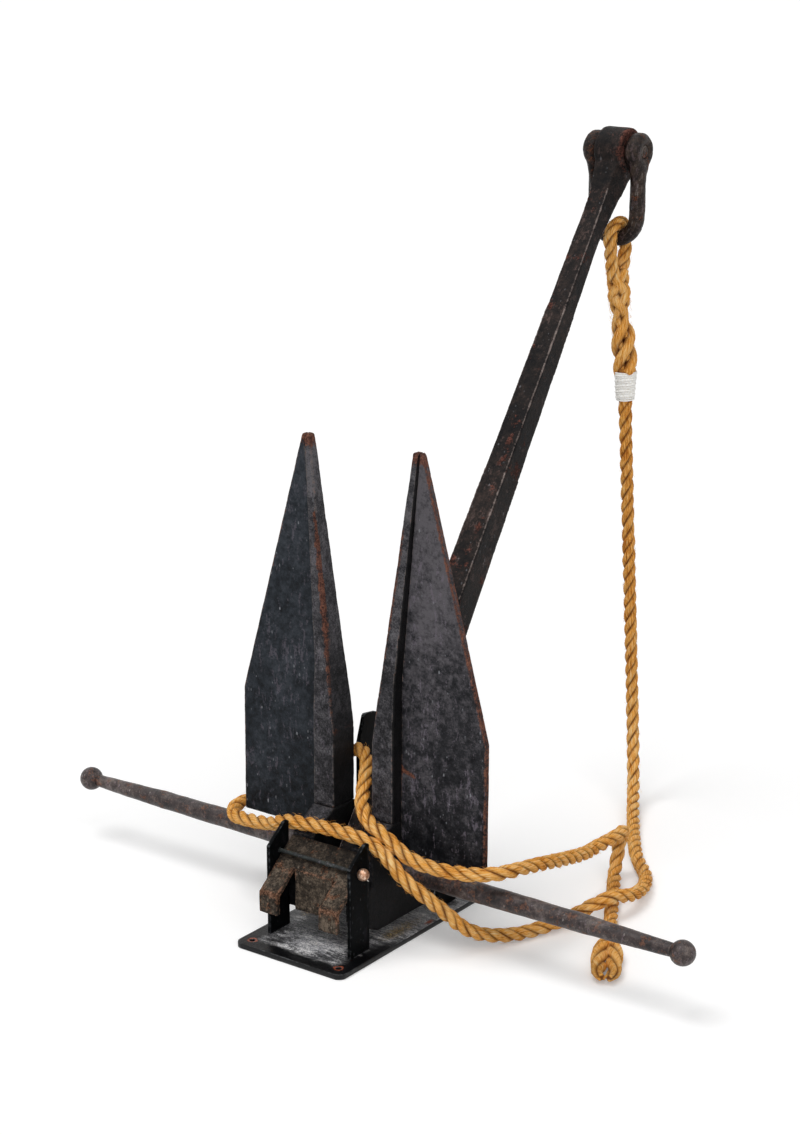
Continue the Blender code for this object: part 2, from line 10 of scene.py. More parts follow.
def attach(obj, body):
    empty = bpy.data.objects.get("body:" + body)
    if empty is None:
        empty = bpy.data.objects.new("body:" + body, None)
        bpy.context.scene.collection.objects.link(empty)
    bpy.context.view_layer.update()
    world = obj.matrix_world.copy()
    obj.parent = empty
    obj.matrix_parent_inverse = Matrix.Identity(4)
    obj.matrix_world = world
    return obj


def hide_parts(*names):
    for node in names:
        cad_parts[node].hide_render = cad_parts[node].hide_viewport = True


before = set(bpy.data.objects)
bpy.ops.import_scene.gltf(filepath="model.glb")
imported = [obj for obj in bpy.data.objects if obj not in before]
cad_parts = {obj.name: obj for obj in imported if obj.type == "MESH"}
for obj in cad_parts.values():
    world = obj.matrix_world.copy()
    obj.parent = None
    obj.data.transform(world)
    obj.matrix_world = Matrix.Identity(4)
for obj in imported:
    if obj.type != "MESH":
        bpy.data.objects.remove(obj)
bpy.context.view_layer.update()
scene = bpy.context.scene


def toLinear(hexColour):
    parts = [int(hexColour[i:i + 2], 16) / 255 for i in (1, 3, 5)]
    return tuple(c / 12.92 if c <= 0.04045 else ((c + 0.055) / 1.055) ** 2.4 for c in parts) + (1.0,)


def addNode(material, kind, inputs=(), out=0, stops=None, **settings):
    # adds one node: inputs that are sockets are linked, others are set, and stops fill a colour ramp
    node = material.node_tree.nodes.new("ShaderNode" + kind)
    for key, value in settings.items():
        setattr(node, key, value)
    for key, value in (inputs.items() if isinstance(inputs, dict) else enumerate(inputs)):
        if isinstance(value, bpy.types.NodeSocket):
            material.node_tree.links.new(value, node.inputs[key])
        else:
            node.inputs[key].default_value = toLinear(value) if isinstance(value, str) else value
    if stops:
        elements = node.color_ramp.elements
        while len(elements) < len(stops):
            elements.new(0.5)
        for element, (place, value) in zip(elements, stops):
            element.position = place
            element.color = toLinear(value) if isinstance(value, str) else (value, value, value, 1)
    return node.outputs[out]


def newMaterial(name):
    material = bpy.data.materials.new(name)
    material.use_nodes = True
    return material, material.node_tree.nodes["Principled BSDF"]


# Camera and light

view = {"place": (1.7631, -2.3180, 1.3380), "turn": 36.34, "down": 16.69, "lens": 79.89}
camera = bpy.data.objects.new("camera", bpy.data.cameras.new("camera"))
scene.collection.objects.link(camera)
camera.location = view["place"]
camera.rotation_euler = (math.radians(90 - view["down"]), 0, math.radians(view["turn"]))
camera.data.lens = view["lens"]
camera.data.clip_end = 200
scene.camera = camera

studio = {
    "sky": 0.26,                                  # soft light from all round
    # name, where it shines from, strength, and its width in degrees
    "suns": (("overhead soft box", (-0.30, -0.50, 1.6), 1.55, 34),
             ("front soft box", (1.0, -1.0, 1.1), 1.25, 50)),
    "floor": "#eeeeee", "paperGlow": 0.22,
}


def makeStudio():
    world = bpy.data.worlds.new("white studio")
    scene.world = world
    world.use_nodes = True
    world.node_tree.nodes.clear()
    ray = addNode(world, "LightPath").node.outputs
    seen = addNode(world, "Math", [ray["Is Camera Ray"], ray["Is Glossy Ray"]], operation="MAXIMUM")
    seen = addNode(world, "Math", [seen, ray["Is Transmission Ray"]], operation="MAXIMUM")
    soft = addNode(world, "Background", {"Color": "#ffffff", "Strength": studio["sky"]})
    white = addNode(world, "Background", {"Color": "#ffffff", "Strength": 1.0})
    mixed = addNode(world, "MixShader", [seen, soft, white])
    output = world.node_tree.nodes.new("ShaderNodeOutputWorld")
    world.node_tree.links.new(mixed, output.inputs["Surface"])
    for name, place, strength, width in studio["suns"]:
        lamp = bpy.data.lights.new(name, "SUN")
        lamp.energy = strength
        lamp.angle = math.radians(width)
        obj = bpy.data.objects.new(name, lamp)
        scene.collection.objects.link(obj)
        obj.rotation_euler = (-Vector(place)).to_track_quat("-Z", "Y").to_euler()
    bm = bmesh.new()
    bmesh.ops.create_grid(bm, x_segments=1, y_segments=1, size=40)
    mesh = bpy.data.meshes.new("studio floor")
    bm.to_mesh(mesh)
    bm.free()
    floor = bpy.data.objects.new("studioFloor", mesh)
    scene.collection.objects.link(floor)
    floor.location.z = -0.0004
    # matt white paper; it glows a little where it is seen, so it shows white and keeps its shadows
    paper, shader = newMaterial("matt white background paper")
    shader.inputs["Base Color"].default_value = toLinear(studio["floor"])
    shader.inputs["Roughness"].default_value = 0.95
    shader.inputs["Specular IOR Level"].default_value = 0.0
    shader.inputs["Emission Color"].default_value = (1, 1, 1, 1)
    ray = addNode(paper, "LightPath").node.outputs
    seen = addNode(paper, "Math", [ray["Is Camera Ray"], ray["Is Glossy Ray"]], operation="MAXIMUM")
    seen = addNode(paper, "Math", [seen, ray["Is Transmission Ray"]], operation="MAXIMUM")
    glow = addNode(paper, "Math", [seen, studio["paperGlow"]], operation="MULTIPLY")
    paper.node_tree.links.new(glow, shader.inputs["Emission Strength"])
    mesh.materials.append(paper)


makeStudio()
print("studio ready")

# Iron finishes: old black paint over cast, rolled and forged iron, worn through to rust

ironLook = {
    # the paint from its darkest to its most faded
    "dark": "#101215", "middle": "#26292d", "light": "#4a4c51",
    "fade": 0.22, "fadeFrom": 0.22,                                  # paler upwards, from this height
    # pale chips 2 mm wide, 4 mm high
    "specks": 1.0, "speckColour": "#85878c", "speckShape": (230, 230, 120),
    "scuffs": 0.5, "scuffColour": "#6d6670", "scuffShape": (150, 150, 45),
    "edgeRust": 0.45, "rustPatch": 40, "patchFrom": 0.68, "patches": 0.5,
    "rustDark": "#2c1d19", "rustMiddle": "#5d392d", "rustLight": "#8d5a44", "rustCover": 0.85,
    "grainWeight": 0.42,
    # pale arrises: worn bare metal and painted highlight along the edges
    "bareEdge": 0.5, "edgeColour": "#77716d", "bareFrom": 0.42,
    "rough": 0.55, "gloss": 0.08, "bump": 0.8, "grain": 300,
}


def wornIron(name, **changes):
    look = dict(ironLook, **changes)
    mat, shader = newMaterial(name)
    place = addNode(mat, "TexCoord", out="Object")
    edge, rusty, deep = (addNode(mat, "Attribute", attribute_name=label, out="Fac")
                         for label in ("edgeNearness", "rustHint", "deepShade"))
    height = addNode(mat, "SeparateXYZ", [place], out="Z")
    # broad fading, in clouds of 80 mm
    cloud = addNode(mat, "TexNoise", {"Vector": place, "Scale": 13, "Detail": 4, "Roughness": 0.6})
    # scuffs of 12 mm
    mottle = addNode(mat, "TexNoise", {"Vector": place, "Scale": 85, "Detail": 7, "Roughness": 0.72})
    # grain of 3 mm, drawn coarser than the real one so that it shows
    grain = addNode(mat, "TexNoise", {"Vector": place, "Scale": look["grain"], "Detail": 3,
                                      "Roughness": 0.9})
    run = addNode(mat, "Mapping", {"Vector": place, "Scale": look["scuffShape"]})
    scuff = addNode(mat, "TexNoise", {"Vector": run, "Scale": 1.0, "Detail": 5, "Roughness": 0.75})
    patch = addNode(mat, "TexNoise", {"Vector": place, "Scale": look["rustPatch"], "Detail": 7,
                                      "Roughness": 0.75})
    upright = addNode(mat, "Mapping", {"Vector": place, "Scale": look["speckShape"]})
    dots = addNode(mat, "TexVoronoi", {"Vector": upright, "Scale": 1.0, "Randomness": 1.0},
                   out="Distance").node
    dotSize = addNode(mat, "SeparateColor", [dots.outputs["Color"]], out="Red")

    tone = addNode(mat, "Math", [cloud, 0.55, -0.275], operation="MULTIPLY_ADD")
    tone = addNode(mat, "Math", [mottle, 0.95, tone], operation="MULTIPLY_ADD")
    grainTone = addNode(mat, "Math", [grain, 0.5], operation="SUBTRACT")
    tone = addNode(mat, "Math", [grainTone, look["grainWeight"], tone], operation="MULTIPLY_ADD")
    lift = addNode(mat, "Math", [height, look["fadeFrom"]], operation="SUBTRACT")
    tone = addNode(mat, "Math", [lift, look["fade"], tone], operation="MULTIPLY_ADD")
    colour = addNode(mat, "ValToRGB", [tone], stops=[(0.30, look["dark"]), (0.48, look["middle"]),
                                                     (0.72, look["light"])])
    scuffed = addNode(mat, "Math", [cloud, 0.35, scuff], operation="MULTIPLY_ADD")
    scuffed = addNode(mat, "Math", [grain, 0.35, scuffed], operation="MULTIPLY_ADD")
    scuffed = addNode(mat, "ValToRGB", [scuffed], stops=[(0.93, 0.0), (0.99, 1.0)])
    scuffed = addNode(mat, "Math", [scuffed, look["scuffs"]], operation="MULTIPLY")
    colour = addNode(mat, "Mix", {0: scuffed, 6: colour, 7: look["scuffColour"]}, data_type="RGBA", out=2)
    # pale dots: one cell in five has one
    dotted = addNode(mat, "Math", [dotSize, 1.7, -1.36], operation="MULTIPLY_ADD")
    dotted = addNode(mat, "Math", [dotted, dots.outputs["Distance"]], operation="SUBTRACT")
    dotted = addNode(mat, "ValToRGB", [dotted], stops=[(0.0, 0.0), (0.06, 1.0)])
    gathered = addNode(mat, "MapRange", {"Value": scuff, "From Min": 0.44, "From Max": 0.62, "To Min": 0.15,
                                         "To Max": look["specks"]})
    dotted = addNode(mat, "Math", [dotted, gathered], operation="MULTIPLY")
    colour = addNode(mat, "Mix", {0: dotted, 6: colour, 7: look["speckColour"]}, data_type="RGBA", out=2)
    # arrises worn bare, and painted highlights: the pale line along the edges also stands in for their shine
    uneven = addNode(mat, "Math", [grain, 0.4], operation="MULTIPLY")
    uneven = addNode(mat, "Math", [mottle, 0.9, uneven], operation="MULTIPLY_ADD")
    bareAndLitEdge = addNode(mat, "Math", [edge, uneven], operation="MULTIPLY")
    bareAndLitEdge = addNode(mat, "ValToRGB", [bareAndLitEdge], stops=[(look["bareFrom"], 0.0),
                                                       (look["bareFrom"] + 0.18, 1.0)])
    bareAndLitEdge = addNode(mat, "Math", [bareAndLitEdge, look["bareEdge"]], operation="MULTIPLY")
    colour = addNode(mat, "Mix", {0: bareAndLitEdge, 6: colour, 7: look["edgeColour"]}, data_type="RGBA", out=2)
    # rust creeps in from the arrises and breaks out in patches
    spots = addNode(mat, "ValToRGB", [patch], stops=[(look["patchFrom"], 0.0),
                                                     (look["patchFrom"] + 0.12, 1.0)])
    creep = addNode(mat, "Math", [edge, look["edgeRust"], rusty], operation="MULTIPLY_ADD")
    blotchy = addNode(mat, "Math", [mottle, 1.9, -0.15], operation="MULTIPLY_ADD")
    creep = addNode(mat, "Math", [creep, blotchy], operation="MULTIPLY")
    creep = addNode(mat, "Math", [spots, look["patches"], creep], operation="MULTIPLY_ADD")
    creep = addNode(mat, "Math", [creep, 0.45], operation="SUBTRACT")
    creep = addNode(mat, "Math", [grain, 0.9, creep], operation="MULTIPLY_ADD")
    rusted = addNode(mat, "ValToRGB", [creep], stops=[(0.34, 0.0), (0.58, 1.0)])
    rustTone = addNode(mat, "Math", [mottle, 0.4], operation="MULTIPLY")
    rustTone = addNode(mat, "Math", [grain, 0.8, rustTone], operation="MULTIPLY_ADD")
    rust = addNode(mat, "ValToRGB", [rustTone], stops=[(0.48, look["rustDark"]), (0.60, look["rustMiddle"]),
                                                       (0.74, look["rustLight"])])
    cover = addNode(mat, "Math", [rusted, look["rustCover"]], operation="MULTIPLY")
    colour = addNode(mat, "Mix", {0: cover, 6: colour, 7: rust}, data_type="RGBA", out=2)
    # painted shade: near black mixed in where the deepShade attribute is set
    colour = addNode(mat, "Mix", {0: deep, 6: colour, 7: "#0a0a0b"}, data_type="RGBA", out=2)
    links = mat.node_tree.links
    links.new(colour, shader.inputs["Base Color"])
    rough = addNode(mat, "Math", [mottle, 0.4, look["rough"] - 0.2], operation="MULTIPLY_ADD")
    rough = addNode(mat, "Math", [rusted, 0.3, rough], operation="MULTIPLY_ADD", use_clamp=True)
    links.new(rough, shader.inputs["Roughness"])
    shader.inputs["Specular IOR Level"].default_value = look["gloss"]
    relief = addNode(mat, "Math", [grain, 0.6], operation="MULTIPLY")
    relief = addNode(mat, "Math", [mottle, 0.8, relief], operation="MULTIPLY_ADD")
    pits = addNode(mat, "Math", [grain, 0.5], operation="MULTIPLY")
    relief = addNode(mat, "Math", [rusted, pits, relief], operation="MULTIPLY_ADD")
    bump = addNode(mat, "Bump", {"Height": relief, "Strength": look["bump"], "Distance": 0.0016})
    links.new(bump, shader.inputs["Normal"])
    return mat


# chalked black enamel, brushed on: blue-black, peppered with pale dots, orange where the arrises are bare
leftBlade = wornIron("chalked black enamel, left blade", dark="#0d0f12", middle="#22262b",
                     light="#3c4046", scuffs=0.35)
rightBlade = wornIron("chalked black enamel, right blade", dark="#0c0d10", middle="#27272a",
                      light="#59565a", fade=0.75, scuffs=0.55, patches=0.6)
# the same enamel over rough-cast ribs: greyer, with a sandy grain
ribFinish = wornIron("sandy black enamel on cast ribs", dark="#151517", middle="#333235", light="#605e61",
                     grain=380, specks=0.4, scuffs=0.3, bump=1.0, fade=0.3, grainWeight=0.9)
# tar varnish on a forged bar: brown-black with red rust coming through along its face, and a pale line on
# its arrises that is worn bare metal and painted highlight
shankFinish = wornIron("tar varnish on a forged bar", dark="#0e0d0f", middle="#1f1b1a", light="#3f3430",
                       specks=0.5, scuffs=0.6, scuffColour="#5c4c48", scuffShape=(150, 60, 60),
                       edgeRust=0.25, bareEdge=1.0, bareFrom=0.30, edgeColour="#a3948e", rustPatch=30,
                       patchFrom=0.55, patches=0.8, rustDark="#2a1c18", rustMiddle="#51322b",
                       rustLight="#84554a", fade=0.0, rough=0.5)
# thin black paint over bent plate, gone grey-brown and grainy
crownFinish = wornIron("brown-black paint on bent plate", dark="#1a1613", middle="#403830",
                       light="#7a6c5e", grain=340, grainWeight=0.5, specks=0.5, speckColour="#9b9386",
                       scuffs=0.5, scuffColour="#7c6f60", edgeRust=0.50, rustPatch=55, patchFrom=0.55,
                       patches=0.9, rustDark="#33241c", rustMiddle="#664735", rustLight="#9c7560",
                       bump=1.0, fade=0.0, rough=0.6)
# bare iron, pitted and rusted all over: purple-grey with brown blotches and a dull shine
stockFinish = wornIron("pitted brown rust on a drawn bar", dark="#181313", middle="#3a302f",
                       light="#736862", grain=300, specks=0.5, speckColour="#b5aca6", scuffs=0.5,
                       scuffColour="#7a6b72", edgeRust=0.2, rustPatch=75, patchFrom=0.52, patches=1.0,
                       rustDark="#3c261e", rustMiddle="#5f3e30", rustLight="#8c6149", rustCover=0.6,
                       bump=0.7, fade=0.0, rough=0.36, gloss=0.3)
# hot-forged scale with dark rust: brown-black with a soft sheen on its rounds
shackleFinish = wornIron("forge scale with dark rust", dark="#0d0a0a", middle="#1f1816", light="#45382f",
                         specks=0.3, scuffs=0.35, scuffColour="#6a5a5c", edgeRust=0.1, rustPatch=44,
                         patchFrom=0.56, patches=0.95, rustDark="#2f1b14", rustMiddle="#5d3422",
                         rustLight="#8e5535", bump=0.7, fade=0.0, rough=0.40, gloss=0.13)
# gloss black paint on sheet steel, hardly worn: almost no colour; its thin grey arrises are painted
# highlights with a little wear
standFinish = wornIron("gloss black paint on sheet steel", dark="#040505", middle="#070809",
                       light="#0e1012", specks=0.0, scuffs=0.04, edgeRust=0.05, patches=0.0, bareEdge=0.5,
                       edgeColour="#5d6063", bump=0.25, fade=0.0, rough=0.45, gloss=0.03)
pinFinish = wornIron("black oxide on a steel rod", dark="#0d0f0f", middle="#1b1f1e", light="#3c423f",
                     specks=0.4, scuffs=0.4, edgeRust=0.0, patches=0.2, bareEdge=0.2, fade=0.0, bump=1.0,
                     gloss=0.3)
print("iron finishes ready")

# Iron pieces: each takes its form from the frame, with fine faces, uneven surfaces and marked edges

def denseMesh(node, step):
    bm = bmesh.new()
    bm.from_mesh(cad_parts[node].data)
    bmesh.ops.remove_doubles(bm, verts=bm.verts, dist=0.00001)
    sharp = []
    for e in bm.edges:
        if len(e.link_faces) == 2 and e.calc_face_angle(0) > math.radians(24):
            a, b = e.verts[0].co, e.verts[1].co
            count = max(1, int((b - a).length / 0.0015))
            sharp += [a.lerp(b, k / count) for k in range(count + 1)]
    # cut into an even grid, which keeps the faces square
    for axis in range(3):
        way = Vector((axis == 0, axis == 1, axis == 2))
        places = [v.co[axis] for v in bm.verts]
        low, high = min(places), max(places)
        count = max(1, int((high - low) / step))
        for k in range(1, count):
            bmesh.ops.bisect_plane(bm, geom=bm.verts[:] + bm.edges[:] + bm.faces[:], dist=0.000001,
                                   plane_co=way * (low + (high - low) * k / count), plane_no=way)
    bmesh.ops.triangulate(bm, faces=[f for f in bm.faces if len(f.verts) > 3], quad_method="SHORT_EDGE")
    return bm, sharp


def forgedRound(bm, voxel, passes):
    # runs joined forms into each other, as hammering does
    mesh = bpy.data.meshes.new("forging")
    bm.to_mesh(mesh)
    obj = bpy.data.objects.new("forging", mesh)
    scene.collection.objects.link(obj)
    remesh = obj.modifiers.new("remesh", "REMESH")
    remesh.mode, remesh.voxel_size = "VOXEL", voxel
    smooth = obj.modifiers.new("smooth", "SMOOTH")
    smooth.factor, smooth.iterations = 0.5, passes
    bm.clear()
    bm.from_mesh(obj.evaluated_get(bpy.context.evaluated_depsgraph_get()).data)
    bpy.data.objects.remove(obj)


def distanceTo(points):
    tree = kdtree.KDTree(max(1, len(points)))
    for i, p in enumerate(points):
        tree.insert(p, i)
    tree.balance()
    return lambda q: tree.find(q)[2] if points else 1.0


def weathered(node, name, body, material, step=0.0035, dent=0.00035, spread=0.0019, rustAt=None,
              deepAt=None, forged=0, voxel=0.0014, press=None, edgeScaleAt=None):
    bm, sharp = denseMesh(node, step)
    if forged:
        forgedRound(bm, voxel, forged)
    far = distanceTo(sharp)
    bm.normal_update()
    edgeValues, rustValues, deepValues = [], [], []
    moves = []
    for v in bm.verts:
        near = math.exp(-far(v.co) / spread)
        wave = noise.noise(v.co * 38) * dent + noise.noise(v.co * 150) * dent * 0.35
        chip = max(0.0, noise.noise(v.co * 210) - 0.1) * near * dent * 2.4
        moves.append(v.normal * (wave - chip) + (press(v.co) if press else Vector()))
        edgeValues.append(near * (edgeScaleAt(v.co) if edgeScaleAt else 1.0))
        rustValues.append(rustAt(v.co) if rustAt else 0.0)
        deepValues.append(deepAt(v.co, v.normal) if deepAt else 0.0)
    for v, move in zip(bm.verts, moves):
        v.co += move
    mesh = bpy.data.meshes.new(name)
    bm.to_mesh(mesh)
    bm.free()
    for label, values in (("edgeNearness", edgeValues), ("rustHint", rustValues), ("deepShade", deepValues)):
        mesh.attributes.new(label, "FLOAT", "POINT").data.foreach_set("value", values)
    mesh.shade_smooth()
    if not forged:
        mesh.set_sharp_from_angle(angle=math.radians(34))
    mesh.materials.append(material)
    obj = bpy.data.objects.new(name, mesh)
    scene.collection.objects.link(obj)
    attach(obj, body)
    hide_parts(node)
    return obj


# where the wear is placed from: the stock's height, the shank's lean and, one metre up it, the shackle's pin
stockHeight, shankLean = 0.0852, math.radians(34.6)
shankWay = Vector((0, math.sin(shankLean), math.cos(shankLean)))
pinPlace = Vector((0, 0, stockHeight)) + shankWay
# a fluke: its reach to the side at the shoulder and at the tip, and where the rib's weld runs
fluke = {"height": 0.534, "wide": 0.186, "narrow": 0.0905, "shoulder": 0.190, "taper": 0.341,
         "weld": 0.0630}


def clamp(value):
    return max(0.0, min(1.0, value))


def alongShank(p):
    return (p - Vector((0, 0, stockHeight))).dot(shankWay)


def bell(value, centre, width):
    return math.exp(-((value - centre) / width) ** 2)


def nearLine(p, a, b, width):
    a, b = Vector(a), Vector(b)
    d = b - a
    t = clamp((p - a).dot(d) / d.length_squared)
    return math.exp(-((p - a - d * t).length / width) ** 2)


def ribRust(side):
    def rust(p):
        up = (p.z - stockHeight) / fluke["height"]
        tip = max(0.0, (up - 0.962) * 26)
        # the upper part's inner arris, and a weld low on the left rib
        inner = abs(p.x) < 0.036 + 0.043 * max(0.0, up - 0.37) / 0.63 + 0.003
        ridge = (0.62 if side < 0 else 0.40) * (inner and p.y < -0.006) * clamp((up - 0.30) * 3)
        band = 0.0
        if side < 0 and abs(p.x) < 0.0405:
            band = 0.55 * bell(p.z, 0.252, 0.006) * max(0.0, noise.noise(p * 70) + 0.6)
        return min(1.3, tip + ridge + band)
    return rust


def bladeRust(side):
    def rust(p):
        z = p.z - stockHeight
        tip = max(0.0, (z / fluke["height"] - 0.968) * 30)
        taper = max(0.0, z - fluke["shoulder"]) / fluke["taper"]
        # the outer edge, shoulder to tip
        rim = fluke["wide"] - (fluke["wide"] - fluke["narrow"]) * taper
        outer = (0.42 if side > 0 else 0.22) * math.exp(-max(0.0, rim - abs(p.x)) / 0.0022)
        smear = 0.0
        if side > 0:
            smear = 0.9 * nearLine(p, (0.063, -0.005, 0.221), (0.082, -0.005, 0.214), 0.004)
        seam = (0.4 if side < 0 else 0.15) * math.exp(-abs(abs(p.x) - fluke["weld"]) / 0.0018)
        seam = seam * bell(p.z, 0.215, 0.035)
        return min(1.3, tip + outer + smear + seam)
    return rust


def ribShade(side):
    # painted shade: near black low on the left rib's inner side, and on the right rib's side in the corner
    # with its blade
    def shade(p, n):
        up = (p.z - stockHeight) / fluke["height"]
        if n.x < 0.6:
            return 0.0
        return 0.92 if side > 0 else max(0.0, min(0.9, 1.5 - 2.6 * up))
    return shade


def cheekShade(p, normal):
    # painted shade: near black on the sides facing along x and on the lower edges, a little elsewhere
    return 0.9 if abs(normal.x) > 0.6 or p.z < stockHeight + 0.004 else 0.25


def cheekReach(p):
    # below the stock each cheek runs on to the crown plates
    low, end = clamp((stockHeight - 0.001 - p.z) / 0.004), clamp((abs(p.y) - 0.045) / 0.020)
    return Vector((0, math.copysign(0.014 * low * end, p.y), 0))


def crownRust(p):
    y, z = abs(p.y), p.z - stockHeight
    bends = 0.42 * math.exp(-(math.hypot(y - 0.131, z + 0.0127) / 0.009) ** 2)
    bends += 0.26 * math.exp(-(math.hypot(y - 0.0992, z - 0.0125) / 0.012) ** 2)
    return bends + 0.12 * (abs(p.x) > 0.030 and y > 0.1)


def crownShade(p, normal):
    # painted shade: darkens the upper part, under the fluke; the bent ends are left worn brown
    return 0.42 * clamp((p.z - stockHeight - 0.0145) / 0.006)


def headRust(p):
    along = alongShank(p)
    crown = 0.30 * clamp((p.z - pinPlace.z - 0.006) / 0.015)    # the top of the boss
    rim = 0.50 * bell(p.x, 0.0200, 0.0022) * (along > 0.955)
    neck = 0.28 * bell(along, 0.925, 0.02) * (p.x < 0.012)
    strip = 0.36 * bell(p.x, 0.006, 0.007) * max(0.0, 1 - abs(along - 0.50) / 0.5)
    return crown + rim + neck + strip


def headShade(p, normal):
    along = alongShank(p)
    # painted shade: the bar's right side is darker than its front, and near black where the boss faces
    # forward
    side = 0.42 * clamp((normal.x - 0.45) * 3) if along < 0.96 else 0.0
    return side + 0.45 * bell(along, 0.975, 0.022) * max(0.0, -normal.y)


def shackleRust(p):
    leftEye = 0.42 * bell(p.x, -0.027, 0.010)
    rightEye = 0.16 * bell(p.x, 0.034, 0.012) * (p.z > pinPlace.z - 0.012)
    legs = 0.55 * bell(p.z, 0.845, 0.030) * max(0.0, noise.noise(p * 60) + 0.1)
    return leftEye + rightEye + legs


def dishEye(p):
    # the eyes' outer faces are hollow round the pin
    out = abs(p.x) - 0.040
    r = math.hypot(p.y - pinPlace.y, p.z - pinPlace.z)
    if out < 0 or r > 0.024:
        return Vector()
    return Vector((-math.copysign(0.0022 * math.exp(-(r / 0.014) ** 4), p.x), 0, 0))


for label, side, blade in (("left", -1, leftBlade), ("right", 1, rightBlade)):
    name = label.capitalize()
    weathered(f"fluke_rib_{label}", f"flukeRib{name}", "stand", ribFinish, 0.0034, 0.0004,
              rustAt=ribRust(side), deepAt=ribShade(side))
    weathered(f"fluke_blade_{label}", f"flukeBlade{name}", "stand", blade, 0.0034, 0.0003,
              rustAt=bladeRust(side))
    weathered(f"crown_cheek_{label}", f"crownCheek{name}", "stand", ribFinish,
              dent=0.0004, deepAt=cheekShade, press=cheekReach)
    weathered(f"front_upright_{label}", f"frontUpright{name}", "stand", standFinish,
              dent=0.0001, spread=0.0012)
    weathered(f"rear_upright_{label}", f"rearUpright{name}", "stand", standFinish,
              dent=0.0001, spread=0.0012)
    weathered(f"stock_ball_{label}", f"stockBall{name}", "stand", stockFinish, 0.003, 0.0003)
for place in ("front", "rear"):
    weathered(f"crown_plate_{place}", f"crownPlate{place.capitalize()}", "stand", crownFinish,
              0.0026, 0.0005, 0.0018, crownRust, crownShade)
    weathered(f"{place}_pin", f"{place}Pin", "stand", pinFinish, 0.003, 0.0001)
weathered("stock_rod", "stockRod", "stand", stockFinish, 0.0035, 0.0006)
# on the head the pale arrises (wear and painted highlight) and the edge rust are weaker
weathered("shank", "shankBar", "shank", shankFinish, 0.006, 0.0005, 0.0026, headRust,
          headShade, forged=3, voxel=0.0021, edgeScaleAt=lambda p: 1.0 if p.z < pinPlace.z - 0.045 else 0.45)
weathered("shackle", "shackleBow", "shackle", shackleFinish, 0.003, 0.0008, 0.002,
          shackleRust, forged=26, press=dishEye)
weathered("shackle_pin", "shacklePin", "shackle", shackleFinish, 0.0025, 0.0003,
          press=lambda p: Vector((-math.copysign(0.0028, p.x) * (abs(p.x) > 0.030), 0, 0)))
print("iron pieces ready")


# Base plate: black paint under a pale salt crust in front and yellow grit behind

